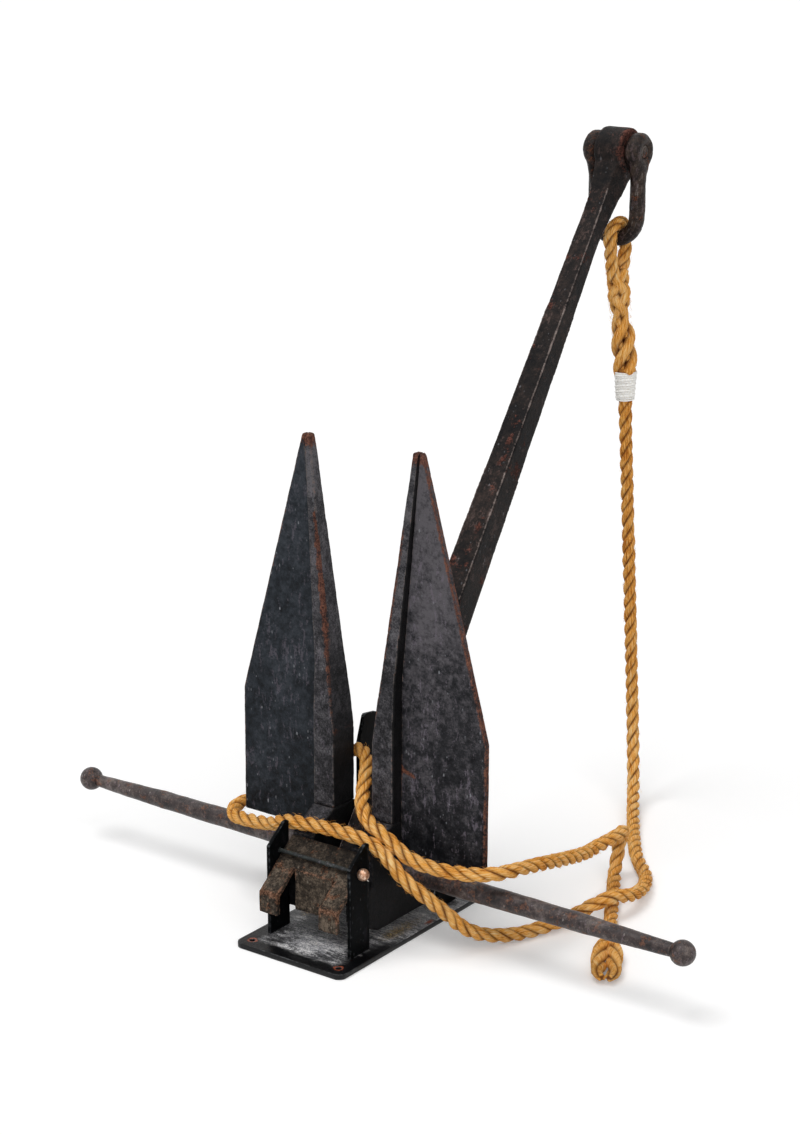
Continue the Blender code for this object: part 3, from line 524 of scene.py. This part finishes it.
def saltedPlate():
    mat, shader = newMaterial("salt-crusted black plate")
    place = addNode(mat, "TexCoord", out="Object")
    edge, ringRust, salt, sand = (addNode(mat, "Attribute", attribute_name=label, out="Fac")
                                  for label in ("edgeNearness", "rustHint", "saltHint", "sandHint"))
    # patches of 25 mm
    cloud = addNode(mat, "TexNoise", {"Vector": place, "Scale": 42, "Detail": 6, "Roughness": 0.7})
    # blotches of 5 mm
    fine = addNode(mat, "TexNoise", {"Vector": place, "Scale": 210, "Detail": 6, "Roughness": 0.8})
    # grit of 2 mm, drawn coarse so that it shows
    grit = addNode(mat, "TexNoise", {"Vector": place, "Scale": 520, "Detail": 3, "Roughness": 0.8})
    wipe = addNode(mat, "Mapping", {"Vector": place, "Scale": (55, 160, 60)})
    smear = addNode(mat, "TexNoise", {"Vector": wipe, "Scale": 1.0, "Detail": 6, "Roughness": 0.75})
    paintTone = addNode(mat, "Math", [cloud, 0.5], operation="MULTIPLY")
    paintTone = addNode(mat, "Math", [fine, 0.5, paintTone], operation="MULTIPLY_ADD")
    paint = addNode(mat, "ValToRGB", [paintTone], stops=[(0.44, "#050506"), (0.60, "#0e0e10"),
                                                         (0.74, "#38393c")])
    saltTone = addNode(mat, "Math", [cloud, 1.2], operation="MULTIPLY")
    saltTone = addNode(mat, "Math", [smear, 1.6, saltTone], operation="MULTIPLY_ADD")
    saltTone = addNode(mat, "Math", [grit, 0.5, saltTone], operation="MULTIPLY_ADD")
    saltTone = addNode(mat, "Math", [saltTone, salt], operation="MULTIPLY")
    saltMask = addNode(mat, "ValToRGB", [saltTone], stops=[(0.74, 0.0), (0.92, 0.35), (1.0, 0.92)])
    saltCover = addNode(mat, "Math", [saltMask, 0.95], operation="MULTIPLY")
    crustTone = addNode(mat, "Math", [smear, 0.5], operation="MULTIPLY")
    crustTone = addNode(mat, "Math", [grit, 0.5, crustTone], operation="MULTIPLY_ADD")
    crust = addNode(mat, "ValToRGB", [crustTone], stops=[(0.38, "#58585b"), (0.50, "#96969a"),
                                                         (0.60, "#f0eeec")])
    colour = addNode(mat, "Mix", {0: saltCover, 6: paint, 7: crust}, data_type="RGBA", out=2)
    sandTone = addNode(mat, "Math", [fine, grit], operation="ADD")
    sandTone = addNode(mat, "Math", [sand, sandTone], operation="MULTIPLY")
    sandMask = addNode(mat, "ValToRGB", [sandTone], stops=[(0.50, 0.0), (0.95, 0.9)])
    yellow = addNode(mat, "ValToRGB", [grit], stops=[(0.42, "#3d3220"), (0.54, "#6d5834"),
                                                     (0.64, "#c3a765")])
    colour = addNode(mat, "Mix", {0: sandMask, 6: colour, 7: yellow}, data_type="RGBA", out=2)
    rustTone = addNode(mat, "Math", [fine, 0.5], operation="ADD")
    rustTone = addNode(mat, "Math", [ringRust, rustTone], operation="MULTIPLY")
    rustMask = addNode(mat, "ValToRGB", [rustTone], stops=[(0.42, 0.0), (0.60, 1.0)])
    rust = addNode(mat, "ValToRGB", [fine], stops=[(0.38, "#4a2016"), (0.55, "#94482f"), (0.7, "#bd7048")])
    colour = addNode(mat, "Mix", {0: rustMask, 6: colour, 7: rust}, data_type="RGBA", out=2)
    worn = addNode(mat, "Math", [edge, fine], operation="MULTIPLY")
    worn = addNode(mat, "ValToRGB", [worn], stops=[(0.40, 0.0), (0.55, 0.4)])
    colour = addNode(mat, "Mix", {0: worn, 6: colour, 7: "#77797c"}, data_type="RGBA", out=2)
    links = mat.node_tree.links
    links.new(colour, shader.inputs["Base Color"])
    rough = addNode(mat, "Math", [saltMask, 0.45, 0.30], operation="MULTIPLY_ADD")
    rough = addNode(mat, "Math", [sandMask, 0.4, rough], operation="MULTIPLY_ADD", use_clamp=True)
    links.new(rough, shader.inputs["Roughness"])
    shader.inputs["Specular IOR Level"].default_value = 0.22
    crusted = addNode(mat, "Math", [saltMask, sandMask], operation="ADD")
    relief = addNode(mat, "Math", [fine, 0.3], operation="MULTIPLY")
    relief = addNode(mat, "Math", [crusted, grit, relief], operation="MULTIPLY_ADD")
    bump = addNode(mat, "Bump", {"Height": relief, "Strength": 0.6, "Distance": 0.0018})
    links.new(bump, shader.inputs["Normal"])
    return mat


def makeBase():
    holes = [(x, y) for x in (-0.067, 0.067) for y in (-0.137, 0.137)]

    def ring(p):
        near = min(abs(math.hypot(p.x - x, p.y - y) - 0.0052) for x, y in holes)
        corner = 0.7 * bell(p.x, 0.078, 0.006) * bell(p.y, 0.035, 0.015) * (p.z > 0.004)
        foot = 0.45 * math.exp(-abs(p.x - 0.066) / 0.002) * (-0.125 < p.y < -0.06)
        return math.exp(-(near / 0.0013) ** 2) * (p.z > 0.004) + corner + foot

    plate = weathered("base_plate", "basePlate", "stand", saltedPlate(), 0.003, 0.00015,
                      0.0018, ring)
    salt, sand = [], []
    for v in plate.data.vertices:
        top = 1.0 if v.co.z > 0.0062 else 0.0
        front = 1 / (1 + math.exp((v.co.y + 0.050) / 0.010))
        rim = clamp((0.0815 - abs(v.co.x)) / 0.022) * clamp((v.co.y + 0.151) / 0.020)
        between = bell(abs(v.co.x), 0.0, 0.062) * bell(v.co.y, -0.085, 0.048)
        salt.append(top * (front * (0.22 + 0.24 * rim + 0.24 * between) + 0.60 * (1 - front)))
        byCheek = bell(abs(v.co.x), 0.062, 0.012) * bell(v.co.y, -0.02, 0.05)
        byWeb = bell(v.co.x, 0.0, 0.035) * bell(v.co.y, -0.100, 0.012)
        sand.append(top * ((1 - front) * (0.36 + 0.62 * byCheek) + 0.55 * byWeb))
    for label, values in (("saltHint", salt), ("sandHint", sand)):
        plate.data.attributes.new(label, "FLOAT", "POINT").data.foreach_set("value", values)


makeBase()


def coppered():
    # worn solid copper: bright on the high spots, brown tarnish and pale bloom between
    mat, shader = newMaterial("tarnished copper")
    place = addNode(mat, "TexCoord", out="Object")
    blotch = addNode(mat, "TexNoise", {"Vector": place, "Scale": 330, "Detail": 6, "Roughness": 0.7})
    colour = addNode(mat, "ValToRGB", [blotch], stops=[(0.34, "#5a3a2a"), (0.48, "#b08468"),
                                                       (0.62, "#e8d0bb")])
    rough = addNode(mat, "ValToRGB", [blotch], stops=[(0.3, 0.6), (0.7, 0.28)])
    bump = addNode(mat, "Bump", {"Height": blotch, "Strength": 0.5, "Distance": 0.0010})
    shader.inputs["Metallic"].default_value = 0.8
    for source, target in ((colour, "Base Color"), (rough, "Roughness"), (bump, "Normal")):
        mat.node_tree.links.new(source, shader.inputs[target])
    return mat


def brightWire():
    # drawn steel wire, clean and shiny
    mat, shader = newMaterial("drawn steel wire")
    place = addNode(mat, "TexCoord", out="Object")
    grain = addNode(mat, "TexNoise", {"Vector": place, "Scale": 900, "Detail": 3})
    shader.inputs["Base Color"].default_value = toLinear("#d6d2cb")
    shader.inputs["Metallic"].default_value = 1.0
    rough = addNode(mat, "ValToRGB", [grain], stops=[(0.3, 0.2), (0.7, 0.38)])
    mat.node_tree.links.new(rough, shader.inputs["Roughness"])
    return mat


copperFinish = coppered()
for place in ("front", "rear"):
    weathered(f"{place}_pin_head", f"{place}PinHead", "stand", copperFinish, 0.0012, 0.0005)
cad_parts["cotter_tip"].data.materials.clear()
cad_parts["cotter_tip"].data.materials.append(brightWire())
print("stand ready")

# Rope: three strands laid up right-handed, each of twisted golden manila yarns

ropeSize = {"radius": 0.009, "lay": 0.059, "step": 0.0030, "sides": 16, "hairs": 2400, "floorGap": 0.0005}


def manilaFinish():
    # dry hard fibre: straw-gold streaks; painted shade, dark brown, in the grooves between the strands,
    # duller with painted shade where it hangs, and painted light higher up
    mat, shader = newMaterial("golden manila fibre")
    yarn = addNode(mat, "UVMap", uv_map="yarn")
    outward = addNode(mat, "Attribute", attribute_name="outward", out="Fac")
    place = addNode(mat, "TexCoord", out="Object")
    height = addNode(mat, "SeparateXYZ", [place], out="Z")
    thin = addNode(mat, "Mapping", {"Vector": yarn, "Scale": (1150, 75, 1)})
    # fibres 0.9 mm wide
    streak = addNode(mat, "TexNoise", {"Vector": thin, "Scale": 1.0, "Detail": 4, "Roughness": 0.8})
    thick = addNode(mat, "Mapping", {"Vector": yarn, "Scale": (520, 42, 1)})
    # yarns 2 mm wide
    coarse = addNode(mat, "TexNoise", {"Vector": thick, "Scale": 1.0, "Detail": 3, "Roughness": 0.6})
    blotch = addNode(mat, "TexNoise", {"Vector": place, "Scale": 42, "Detail": 4, "Roughness": 0.6})
    tone = addNode(mat, "Math", [streak, 1.8, -0.52], operation="MULTIPLY_ADD")
    tone = addNode(mat, "Math", [coarse, 0.90, tone], operation="MULTIPLY_ADD")
    tone = addNode(mat, "Math", [blotch, 0.45, tone], operation="MULTIPLY_ADD")
    # painted shade: darker from 0.10 m up, where the rope hangs
    hang = addNode(mat, "MapRange", {"Value": height, "From Min": 0.10, "From Max": 0.30, "To Max": 0.08})
    tone = addNode(mat, "Math", [tone, hang], operation="SUBTRACT")
    # painted light: paler from 0.59 m up, on the upper rope
    lift = addNode(mat, "MapRange", {"Value": height, "From Min": 0.59, "From Max": 0.64, "To Max": 0.07})
    tone = addNode(mat, "Math", [tone, lift], operation="ADD")
    colour = addNode(mat, "ValToRGB", [tone],
                     stops=[(0.68, "#7d4312"), (0.86, "#cf7b26"), (1.0, "#f2ad4e")])
    pale = addNode(mat, "MapRange", {"Value": tone, "From Min": 1.04, "From Max": 1.32})
    colour = addNode(mat, "Mix", {0: pale, 6: colour, 7: "#fddb9f"}, data_type="RGBA", out=2)
    # painted shade: dark brown where the strands face inward, in the grooves between them
    groove = addNode(mat, "MapRange", {"Value": outward, "From Min": 0.82, "From Max": 0.36,
                                       "To Max": 0.95})
    colour = addNode(mat, "Mix", {0: groove, 6: colour, 7: "#6f3a17"}, data_type="RGBA", out=2)
    relief = addNode(mat, "Math", [coarse, 0.9], operation="MULTIPLY")
    relief = addNode(mat, "Math", [streak, 0.6, relief], operation="MULTIPLY_ADD")
    bump = addNode(mat, "Bump", {"Height": relief, "Strength": 1.0, "Distance": 0.0024})
    mat.node_tree.links.new(colour, shader.inputs["Base Color"])
    mat.node_tree.links.new(bump, shader.inputs["Normal"])
    shader.inputs["Roughness"].default_value = 0.75
    shader.inputs["Specular IOR Level"].default_value = 0.15
    return mat


def twineFinish():
    # waxed cotton twine, off-white, with painted shade between its turns
    mat, shader = newMaterial("waxed white twine")
    place = addNode(mat, "TexCoord", out="Object")
    outward = addNode(mat, "Attribute", attribute_name="outward", out="Fac")
    grain = addNode(mat, "TexNoise", {"Vector": place, "Scale": 500, "Detail": 4, "Roughness": 0.7})
    colour = addNode(mat, "ValToRGB", [grain],
                     stops=[(0.36, "#ebe6dc"), (0.5, "#faf8f3"), (0.64, "#ffffff")])
    # painted shade: darker where the twine faces inward, between its turns
    turnShade = addNode(mat, "MapRange", {"Value": outward, "From Min": 0.68, "From Max": 0.25, "To Max": 0.70})
    colour = addNode(mat, "Mix", {0: turnShade, 6: colour, 7: "#857c6d"}, data_type="RGBA", out=2)
    bump = addNode(mat, "Bump", {"Height": grain, "Strength": 0.4, "Distance": 0.0005})
    mat.node_tree.links.new(colour, shader.inputs["Base Color"])
    mat.node_tree.links.new(bump, shader.inputs["Normal"])
    shader.inputs["Roughness"].default_value = 0.7
    return mat


manila = manilaFinish()
twine = twineFinish()


def evenly(line, step):
    along = np.concatenate([[0], np.cumsum(np.linalg.norm(np.diff(line, axis=0), axis=1))])
    at = np.linspace(0, along[-1], max(2, round(along[-1] / step)) + 1)
    return np.stack([np.interp(at, along, line[:, k]) for k in range(3)], axis=1)


def smoothRoute(points, step):
    pts = [np.array(p, float) for p in points]
    pts = [2 * pts[0] - pts[1]] + pts + [2 * pts[-1] - pts[-2]]
    fine = []
    for a, b, c, d in zip(pts, pts[1:], pts[2:], pts[3:]):
        t1 = np.linalg.norm(b - a) ** 0.5
        t2 = t1 + np.linalg.norm(c - b) ** 0.5
        t3 = t2 + np.linalg.norm(d - c) ** 0.5
        t = (t1 + (t2 - t1) * np.arange(24) / 24)[:, None]
        ab, bc = a + (b - a) * t / t1, b + (c - b) * (t - t1) / (t2 - t1)
        cd = c + (d - c) * (t - t2) / (t3 - t2)
        low, high = ab + (bc - ab) * t / t2, bc + (cd - bc) * (t - t1) / (t3 - t1)
        fine.append(low + (high - low) * (t - t1) / (t2 - t1))
    return evenly(np.vstack(fine + [pts[-2][None]]), step)


def framesAlong(line):
    tangents = np.gradient(line, axis=0)
    tangents /= np.linalg.norm(tangents, axis=1)[:, None]
    side = np.cross(tangents[0], (0.3, 0.2, 0.9))
    side /= np.linalg.norm(side)
    sides = []
    for t in tangents:
        side = side - t * side.dot(t)
        side /= np.linalg.norm(side)
        sides.append(side)
    sides = np.array(sides)
    along = np.concatenate([[0], np.cumsum(np.linalg.norm(np.diff(line, axis=0), axis=1))])
    return tangents, sides, np.cross(tangents, sides), along


class Skin:
    # gathers rings of points into one mesh
    def __init__(self):
        self.points, self.faces, self.yarn, self.shade = [], [], [], []

    def addTube(self, centres, directions, radius, turn, sides, yarnTwist, uneven=0.07):
        # directions: unit vectors pointing out of the rope at each ring
        first = len(self.points)
        tangents = np.gradient(centres, axis=0)
        tangents /= np.linalg.norm(tangents, axis=1)[:, None]
        along = np.concatenate([[0], np.cumsum(np.linalg.norm(np.diff(centres, axis=0), axis=1))])
        girth = 2 * math.pi * float(np.mean(radius))
        radius = np.broadcast_to(radius, (len(centres),))
        for i, (c, t, out) in enumerate(zip(centres, tangents, directions)):
            out = out - t * out.dot(t)
            out = out / np.linalg.norm(out)
            across = np.cross(t, out)
            for k in range(sides):
                # starts on the inner side, so the seam is hidden
                angle = math.pi + 2 * math.pi * k / sides
                lump = noise.noise(Vector((along[i] * 75, math.cos(angle) + turn, math.sin(angle))))
                lump += 0.6 * noise.noise(Vector((along[i] * 230, 2 * math.cos(angle) + turn,
                                                  2 * math.sin(angle))))
                # its yarns stand out a little
                ply = 0.045 * math.cos(5 * angle + along[i] * 420)
                r = radius[i] * (1 + uneven * lump + ply)
                self.points.append(c + out * math.cos(angle) * r + across * math.sin(angle) * r)
                # how far the surface faces out of the rope, 0 inside to 1 outside; the finishes paint shade
                # from it
                self.shade.append(0.5 + 0.5 * math.cos(angle))
        rings = len(centres)
        for i in range(rings - 1):
            for k in range(sides):
                n = (k + 1) % sides
                a, b = first + i * sides, first + (i + 1) * sides
                self.faces.append((a + k, a + n, b + n, b + k))
                u0, u1 = k / sides * girth, (k + 1) / sides * girth
                s0, s1 = along[i], along[i + 1]
                self.yarn += [(u0 + s0 * yarnTwist + turn, s0), (u1 + s0 * yarnTwist + turn, s0),
                              (u1 + s1 * yarnTwist + turn, s1), (u0 + s1 * yarnTwist + turn, s1)]
        for start, order in ((first, 1), (first + (rings - 1) * sides, -1)):
            self.faces.append(tuple(start + k for k in range(sides))[::-order])
            self.yarn += [(turn, 0)] * sides

    def finish(self, name, material, body, node=None):
        mesh = bpy.data.meshes.new(name)
        points = np.array(self.points, float)
        # it lies on the floor, pressed flat
        points[:, 2] = np.maximum(points[:, 2], ropeSize["floorGap"])
        mesh.from_pydata([tuple(p) for p in points], [], self.faces)
        layer = mesh.uv_layers.new(name="yarn")
        layer.data.foreach_set("uv", np.array(self.yarn, float).ravel())
        mesh.attributes.new("outward", "FLOAT", "POINT").data.foreach_set("value", self.shade)
        mesh.shade_smooth()
        mesh.materials.append(material)
        obj = bpy.data.objects.new(name, mesh)
        scene.collection.objects.link(obj)
        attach(obj, body)
        if node:
            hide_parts(node)
        return obj


def layRope(skin, line, radius, lay, phase=0.0, hand=1, swell=None, strandSize=0.515):
    # three strands round a centreline
    tangents, sides, ups, along = framesAlong(line)
    grow = np.array([swell(s / along[-1]) for s in along]) if swell else np.ones(len(line))
    grow = grow * np.array([1 + 0.05 * noise.noise(Vector((s * 26, 4.1 + phase, 0))) for s in along])
    for strand in range(3):
        angle = phase + strand * 2 * math.pi / 3 + hand * 2 * math.pi * along / lay
        angle = angle + np.array([0.22 * noise.noise(Vector((s * 34, strand * 3.3, 1))) for s in along])
        out = sides * np.cos(angle)[:, None] + ups * np.sin(angle)[:, None]
        centres = line + out * (radius * 0.50 * grow)[:, None]
        skin.addTube(centres, out, radius * strandSize * grow, strand * 3.7 + phase, ropeSize["sides"],
                     hand * 0.98)


def addHairs(skin, line, radius, count, seed, longest=0.0075, reach=0.0034):
    # loose fibres that stand off the rope
    chance = random.Random(seed)
    tangents, sides, ups, along = framesAlong(line)
    for _ in range(count):
        i = chance.randrange(2, len(line) - 3)
        angle = chance.uniform(0, 2 * math.pi)
        out = sides[i] * math.cos(angle) + ups[i] * math.sin(angle)
        across = np.cross(tangents[i], out)
        start = line[i] + out * radius * 0.95
        way = tangents[i] * chance.choice((-1, 1)) * chance.uniform(0.5, 1)
        way = way + across * chance.uniform(-0.6, 0.6)
        length = chance.uniform(0.25, 1.0) * longest
        way = way / np.linalg.norm(way) * length
        lift = out * chance.uniform(0.2, 1.0) * min(reach, 0.55 * length)
        points = [start, start + way * 0.5 + lift * 0.7, start + way + lift * chance.uniform(0.6, 1.0)]
        if min(p[2] for p in points) < ropeSize["floorGap"]:
            continue
        width = chance.uniform(0.00010, 0.00020)
        shade = chance.uniform(0.55, 1.0)
        first = len(skin.points)
        for p, w in zip(points, (width, width * 0.8, width * 0.3)):
            for k in range(3):
                turn = 2 * math.pi * k / 3
                skin.points.append(p + (out * math.cos(turn) + across * math.sin(turn)) * w)
                skin.shade.append(shade)
        for j in range(2):
            for k in range(3):
                n = (k + 1) % 3
                a, b = first + j * 3, first + j * 3 + 3
                skin.faces.append((a + k, a + n, b + n, b + k))
                u = chance.random()
                skin.yarn += [(u, 0.1), (u, 0.1), (u, 0.11), (u, 0.11)]


# from the whipping down to the floor, round the anchor and back to the spliced end
ropeRoute = (
    (0.021, 0.568, 0.571), (0.049, 0.565, 0.115), (0.074, 0.530, 0.036),
    (0.112, 0.468, 0.0128), (0.180, 0.364, 0.010), (0.232, 0.302, 0.010),
    (0.257, 0.230, 0.022), (0.250, 0.180, 0.0325), (0.216, 0.128, 0.013),
    (0.186, 0.055, 0.0118), (0.160, 0.008, 0.027), (0.136, -0.027, 0.065),
    (0.103, -0.0535, 0.103), (0.0645, -0.0628, 0.1403), (-0.064, -0.062, 0.140),
    (-0.108, -0.050, 0.1225), (-0.1835, -0.030, 0.110), (-0.2035, 0.004, 0.109),
    (-0.187, 0.037, 0.112), (-0.152, 0.046, 0.126), (-0.095, 0.042, 0.176),
    (-0.040, 0.040, 0.210), (-0.015, 0.0275, 0.209), (0.005, -0.001, 0.193),
    (0.019, -0.0265, 0.174), (0.042, -0.044, 0.160), (0.074, -0.0520, 0.1505),
    (0.107, -0.042, 0.125), (0.160, -0.030, 0.118), (0.205, -0.012, 0.121),
    (0.221, 0.040, 0.117), (0.212, 0.176, 0.084), (0.203, 0.2195, 0.0752),
    (0.2021, 0.289, 0.0724), (0.1902, 0.3075, 0.0633), (0.1832, 0.3137, 0.0414),
    (0.1853, 0.3039, 0.0195), (0.1952, 0.284, 0.0104), (0.2246, 0.2324, 0.010),
    (0.293, 0.112, 0.0094),
)


def makeRun():
    line = smoothRoute(ropeRoute, ropeSize["step"])
    skin = Skin()
    layRope(skin, line, ropeSize["radius"], ropeSize["lay"],
            swell=lambda t: 1 + 0.14 * math.exp(-t / 0.008))
    addHairs(skin, line, ropeSize["radius"], ropeSize["hairs"], 5, 0.0085)
    return skin.finish("ropeRun", manila, "stand", "rope_run"), line


ropeEyeSize = {"drop": 0.1180, "turn": 0.0210, "side": 0.004, "throat": 0.168, "lay": 0.052}


def makeEye():
    bow, turn, x = pinPlace.z - ropeEyeSize["drop"], ropeEyeSize["turn"], ropeEyeSize["side"]
    throat = pinPlace.z - ropeEyeSize["throat"]
    arc = [(x, pinPlace.y + turn * math.cos(a), bow + turn * math.sin(a)) for a in
           (math.radians(-20 + 220 * i / 14) for i in range(15))]
    points = [(x, pinPlace.y + 0.0094, throat - 0.004), (x, pinPlace.y + turn - 0.004, bow - 0.026)] + arc
    points += [(x, pinPlace.y - turn + 0.004, bow - 0.026), (x, pinPlace.y - 0.0094, throat - 0.004)]
    line = smoothRoute(points, 0.0022)
    skin = Skin()
    layRope(skin, line, ropeSize["radius"], ropeEyeSize["lay"], 0.8)
    addHairs(skin, line, ropeSize["radius"], 260, 9, 0.009)
    skin.finish("ropeEye", manila, "shackle", "rope_eye")
    return throat


spliceSize = {"lay": 0.094, "strand": 0.0066, "out": 0.0080}


def makeSplice(throat):
    # at the top the tucked strands go over and under each other; lower down those of one hand lie outside
    low = ropeRoute[0][2] + 0.040
    points = [(0.004, pinPlace.y, throat + 0.006), (0.010, pinPlace.y, throat - 0.050),
              (0.017, pinPlace.y, throat - 0.095), (0.021, pinPlace.y, low - 0.003)]
    line = smoothRoute(points, 0.0022)
    tangents, sides, ups, along = framesAlong(line)
    skin = Skin()
    t = along / along[-1]
    outline = 1.0 - 0.30 * np.exp(-((t - 0.43) / 0.10) ** 2) - 0.06 * np.exp(-((t - 0.14) / 0.03) ** 2)
    late = np.clip((t - 0.42) / 0.2, 0, 1)
    for hand in (1, -1):
        for strand in range(3):
            angle = strand * 2 * math.pi / 3 + hand * 2 * math.pi * along / spliceSize["lay"] + 0.9
            weave = hand * np.cos(6 * math.pi * along / spliceSize["lay"]) * (1 - late) + late * hand * 0.9
            out = sides * np.cos(angle)[:, None] + ups * np.sin(angle)[:, None]
            centres = line + out * ((spliceSize["out"] + 0.0020 * weave) * outline)[:, None]
            size = spliceSize["strand"] * outline * (1 + late * (0.10 if hand > 0 else -0.35))
            skin.addTube(centres, out, size, strand * 2.1 + hand, ropeSize["sides"], hand * 0.6)
    # the core that the whipping binds
    core = np.linspace((0.021, pinPlace.y, low + 0.004), ropeRoute[0], 12)
    skin.addTube(core, np.tile((1.0, 0.0, 0.0), (12, 1)), np.linspace(0.0134, 0.0108, 12), 0.7, 20, 0.5)
    addHairs(skin, line, 0.0145, 420, 13, 0.010, 0.005)
    skin.finish("ropeSplice", manila, "shackle", "rope_splice")


def helixOf(start, end, radiusStart, radiusEnd, turns, perTurn, wobble, seed, slant=0.0):
    start, end = Vector(start), Vector(end)
    axis = (end - start).normalized()
    side = axis.orthogonal().normalized()
    up = axis.cross(side)
    points = []
    count = int(turns * perTurn)
    for i in range(count + 1):
        t = i / count
        a = 2 * math.pi * turns * t
        uneven = wobble * noise.noise(Vector((a * 0.9, seed, t * 3)))
        r = radiusStart + (radiusEnd - radiusStart) * t + uneven
        lean = axis * slant * math.sin(a) * min(1, 6 * t, 6 * (1 - t))
        points.append(start.lerp(end, t) + (side * math.cos(a) + up * math.sin(a)) * r + lean)
    return np.array([tuple(p) for p in points])


def makeWhipping(name, node, body, start, end, radiusStart, radiusEnd, turns, thick):
    skin = Skin()
    line = helixOf(start, end, radiusStart, radiusEnd, turns, 26, 0.0004, 3.3, 0.0011)
    middle = np.linspace(start, end, len(line))
    out = line - middle
    skin.addTube(line, out / np.linalg.norm(out, axis=1)[:, None], thick, 0.3, 8, 0.4)
    # a few turns cross over the first layer
    line = helixOf(end, start, radiusEnd + thick * 0.9, radiusStart + thick * 0.9, turns * 0.3, 26,
                   0.0005, 7.1, -0.0020)
    middle = np.linspace(end, start, len(line))
    out = line - middle
    skin.addTube(line, out / np.linalg.norm(out, axis=1)[:, None], thick * 0.85, 1.3, 8, 0.4)
    return skin.finish(name, twine, body, node)


def bundleSwell(t):
    # swells out of the crotch and narrows again at the tip
    fat = 0.80 + 0.30 * math.sin(math.pi * min(1, t * 1.1 + 0.04)) ** 0.5
    return fat * (1 - 0.35 * max(0.0, t - 0.86) / 0.14)


def makeEnd(line):
    # the end is turned back on itself: two fat soft bundles that curl in to meet
    along = line[-1] - line[-4]
    along[2] = 0
    along /= np.linalg.norm(along)
    across = np.array((along[1], -along[0], 0))
    head = line[-1] + along * 0.0004
    skin = Skin()
    for hand in (1, -1):
        legs = [(0.003, 0.0030), (0.018, 0.0076), (0.042, 0.0090), (0.070, 0.0092), (0.088, 0.0084),
                (0.0985, 0.0040)]
        path = [head + along * s + across * hand * w + np.array((0, 0, 0.0006 if s > 0.01 else 0))
                for s, w in legs]
        leg = smoothRoute(path, 0.0022)
        layRope(skin, leg, 0.0088, 0.105, 0.5 + hand, hand, bundleSwell, 0.60)
        addHairs(skin, leg, 0.0090, 150, 21 + hand, 0.006, 0.0012)
    knob = skin.finish("ropeEnd", manila, "stand", "rope_end")
    band = makeWhipping("endWhipping", None, "stand", tuple(head - along * 0.010),
                        tuple(head + along * 0.004), 0.0088, 0.0090, 5, 0.0008)
    return knob, band


run, runLine = makeRun()
makeSplice(makeEye())
whipTop = (ropeRoute[0][0], ropeRoute[0][1], ropeRoute[0][2] + 0.040)
makeWhipping("ropeWhipping", "rope_whipping", "shackle", whipTop, ropeRoute[0], 0.0145, 0.0118, 18, 0.0011)
knob, endBand = makeEnd(runLine)
print("rope ready")

scene.view_settings.view_transform = "Standard"
